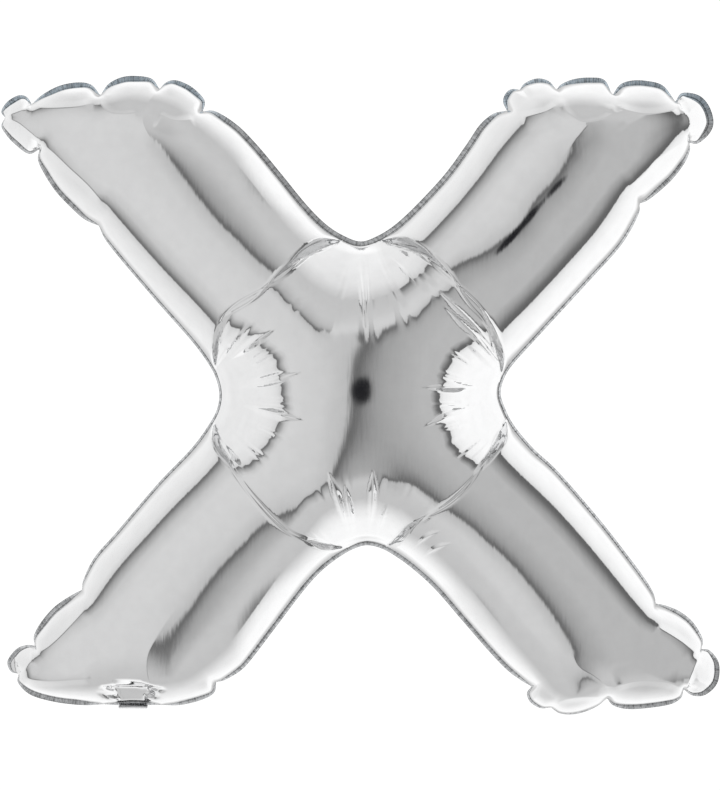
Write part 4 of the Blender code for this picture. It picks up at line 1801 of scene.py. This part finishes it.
@dataclass(frozen=True)
class Studio:
    """A white tent, open at the front, that the mirror film reflects.

    The tent's front has a bright panel on the left, a duller one on the right, dark gaps at
    their edges, and the dark camera between them. Greys are as they show in the film.

    Attributes:
        distance: how far in front of the seam the camera stands.
        view_height: what the photograph's height spans at the seam.
        sensor: the camera's sensor height, in millimetres.
        floor_radius: the round floor's radius.
        floor_height: how far below the balloon's middle the floor lies.
        floor_greys: the two greys that cloud it.
        floor_roughness: how matt it is.
    """

    distance: float = 4.0
    view_height: float = PHOTO_HEIGHT * PIXEL_SPAN * MM
    sensor: float = 36
    floor_radius: float = 1.2
    floor_height: float = -0.75
    floor_greys: tuple[float, float] = (0.86, 0.90)
    floor_roughness: float = 0.9

    def camera(self) -> None:
        """Stand the camera straight in front of the balloon."""
        data = bpy.data.cameras.new("camera")
        data.sensor_fit = "VERTICAL"
        data.sensor_height = self.sensor
        data.lens = self.sensor * self.distance / self.view_height
        made = linked("camera", data)
        made.location.y = -self.distance
        made.rotation_euler = (math.radians(90), 0, 0)
        bpy.context.scene.camera = made

    def floor(self) -> None:
        """Lay a plain pale floor well below the balloon, out of the camera's view."""
        made, tree, shader = new_material("pale_floor")
        cloud = tree.add("ShaderNodeTexNoise", {"Scale": 3}).outputs["Fac"]
        paint = tree.mix(cloud, *((grey, grey, grey, 1) for grey in self.floor_greys))
        tree.feed(shader, {"Base Color": paint, "Roughness": self.floor_roughness})
        disc = bmesh.new()
        bmesh.ops.create_circle(disc, cap_ends=True, segments=128, radius=self.floor_radius)
        bmesh.ops.translate(disc, verts=disc.verts, vec=(0, 0, self.floor_height))
        mesh = bpy.data.meshes.new("studio_floor")
        disc.to_mesh(mesh)
        disc.free()
        mesh.materials.append(made)
        laid = linked("studio_floor", mesh)
        laid.visible_glossy = False

    def surroundings(self) -> None:
        """Paint the tent as the light that comes from each direction."""
        world = bpy.data.worlds.new("tent")
        bpy.context.scene.world = world
        world.use_nodes = True
        world.node_tree.nodes.clear()
        tree = NodeSketch(world.node_tree)
        x, y, z = tree.split(tree.add("ShaderNodeTexCoord").outputs["Generated"])
        ahead = tree.math("MULTIPLY", y, -1)
        turn = tree.math("DIVIDE", tree.math("ARCCOSINE", ahead), math.pi)
        tent = self._walls(tree, x, z, turn)
        tent = self._shaded(tree, tent, tree.math("ARCTAN2", x, ahead), z, turn)
        tent = self._spotted(tree, tent, x, y)
        seen = tree.add("ShaderNodeLightPath").outputs["Is Camera Ray"]
        shown = tree.mix(seen, tent, (1.0, 1.0, 1.0, 1))
        light = tree.add("ShaderNodeBackground", {"Color": shown, "Strength": 1 / FILM_REFLECTS})
        tree.add("ShaderNodeOutputWorld", {"Surface": light.outputs[0]})

    def _walls(self, tree: NodeSketch, x: Socket, z: Socket, turn: Socket) -> Socket:
        """The tent's greys on its left, on its right, and above and below.

        Args:
            tree: the world's nodes.
            x: how far to the right a direction points.
            z: how far up it points.
            turn: how far off the way to the camera it is, as a share of a half turn.

        Returns:
            The tent's colour in each direction.
        """
        left, right, upright = (
            tree.ramp(turn, angle_stops(greys)) for greys in (LEFT_WALL, RIGHT_WALL, UPRIGHT)
        )
        on_right = tree.math("GREATER_THAN", x, 0)
        squares = [tree.math("MULTIPLY", part, part) for part in (x, z)]
        flat = tree.math("MAXIMUM", tree.math("SQRT", tree.math("ADD", *squares)), 0.001)
        steep = tree.math("DIVIDE", tree.math("ABSOLUTE", z), flat)
        sooner = tree.math("MAXIMUM", on_right, tree.math("LESS_THAN", z, 0))
        steep = tree.math("MULTIPLY_ADD", sooner, UPRIGHT_SOONER, steep)
        overhead = tree.share(steep, *UPRIGHT_STEEPNESS, "SMOOTHSTEP")
        far = tree.share(turn, *(angle / HALF_TURN for angle in UPRIGHT_STARTS), "SMOOTHSTEP")
        sides = tree.mix(on_right, left, right)
        return tree.mix(tree.math("MULTIPLY", overhead, far), sides, upright)

    def _shaded(
        self, tree: NodeSketch, tent: Socket, bearing: Socket, z: Socket, turn: Socket
    ) -> Socket:
        """The tent with the shade round its open front.

        Args:
            tree: the world's nodes.
            tent: the tent's colour so far.
            bearing: how far to the side of the camera a direction points, in radians.
            z: how far up it points.
            turn: how far off the way to the camera it is, as a share of a half turn.

        Returns:
            The tent's colour in each direction.
        """
        aside = tree.math("ADD", tree.math("DIVIDE", bearing, 2 * math.pi), 0.5)
        stops = tuple((0.5 + angle / (2 * HALF_TURN), display(grey)) for angle, grey in FRONT_SHADE)
        shaded = tree.mix(1, tent, tree.ramp(aside, stops), "MULTIPLY")
        starts, ends = (angle / HALF_TURN for angle in SHADE_ENDS)
        near = tree.ramp(turn, ((0, 1), (starts, 1), (ends, 0)))
        low = tree.share(z, *SHADE_HEIGHTS, "SMOOTHSTEP")
        return tree.mix(tree.math("MULTIPLY", near, low), tent, shaded)

    def _spotted(self, tree: NodeSketch, tent: Socket, x: Socket, y: Socket) -> Socket:
        """The tent with the camera's dark reflection in its front.

        Args:
            tree: the world's nodes.
            tent: the tent's colour so far.
            x: how far to the right a direction points.
            y: how far away from the camera it points.

        Returns:
            The tent's colour in each direction.
        """
        aim = math.radians(SPOT_ASIDE)
        beside = tree.math("MULTIPLY", x, math.sin(aim))
        ahead = tree.math("MULTIPLY", y, -math.cos(aim))
        away = tree.math("ARCCOSINE", tree.math("MINIMUM", tree.math("ADD", beside, ahead), 1))
        starts, ends = (angle / HALF_TURN for angle in SPOT_ENDS)
        stops = ((0, 1), (starts, 1), (ends, 0))
        spot = tree.ramp(tree.math("DIVIDE", away, math.pi), stops, "EASE")
        return tree.mix(spot, tent, (*map(display, SPOT_GREYS), 1))

    def exposure(self) -> None:
        """Show the greys as they are."""
        settings = bpy.context.scene.view_settings
        settings.view_transform = "Standard"
        settings.look = "None"


def main() -> None:
    """Build the balloon's pieces and the studio in order."""
    logging.basicConfig(level=logging.INFO, format="%(message)s")
    log = logging.getLogger("balloon")
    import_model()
    studio = Studio()
    studio.camera()
    studio.surroundings()
    studio.exposure()
    studio.floor()

    outline = SeamOutline()
    ripples = film_ripples()
    front, back = Envelope(outline).build(TAUT_FILM.build(ripples))
    margin = SeamMargin(outline)
    crimp = CrimpedMargin()
    neck = FillingNeck()
    slack = SLACK_FILM.build(ripples)
    back_neck = neck.build(NeckLayer("neck_back", 0, NECK_WIDTH), slack)
    liner = neck.build(NeckLayer("valve_sleeve", 1, LINER_WIDTH, LINER_TAIL), LinerFilm().build())
    front_neck = neck.build(NeckLayer("neck_front", 2, NECK_WIDTH), slack)
    pieces = (
        (front, "silver_foil", "front_foil"),
        (back, "silver_foil", "back_foil"),
        (margin.build(crimp.build()), "crimped_rim", "seam_rim"),
        (margin.ribs(crimp.crests()), "crimped_rim", "seam_rim"),
        (front_neck, "neck_film", "neck_front_film"),
        (back_neck, "neck_film", "neck_back_film"),
        (liner, "valve_film", "valve_liner"),
    )
    for piece, slot, node in pieces:
        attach(piece, "root")
        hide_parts(node)
        log.info("%s: %d faces", piece.name, len(piece.data.polygons))


if __name__ == "__main__":
    main()
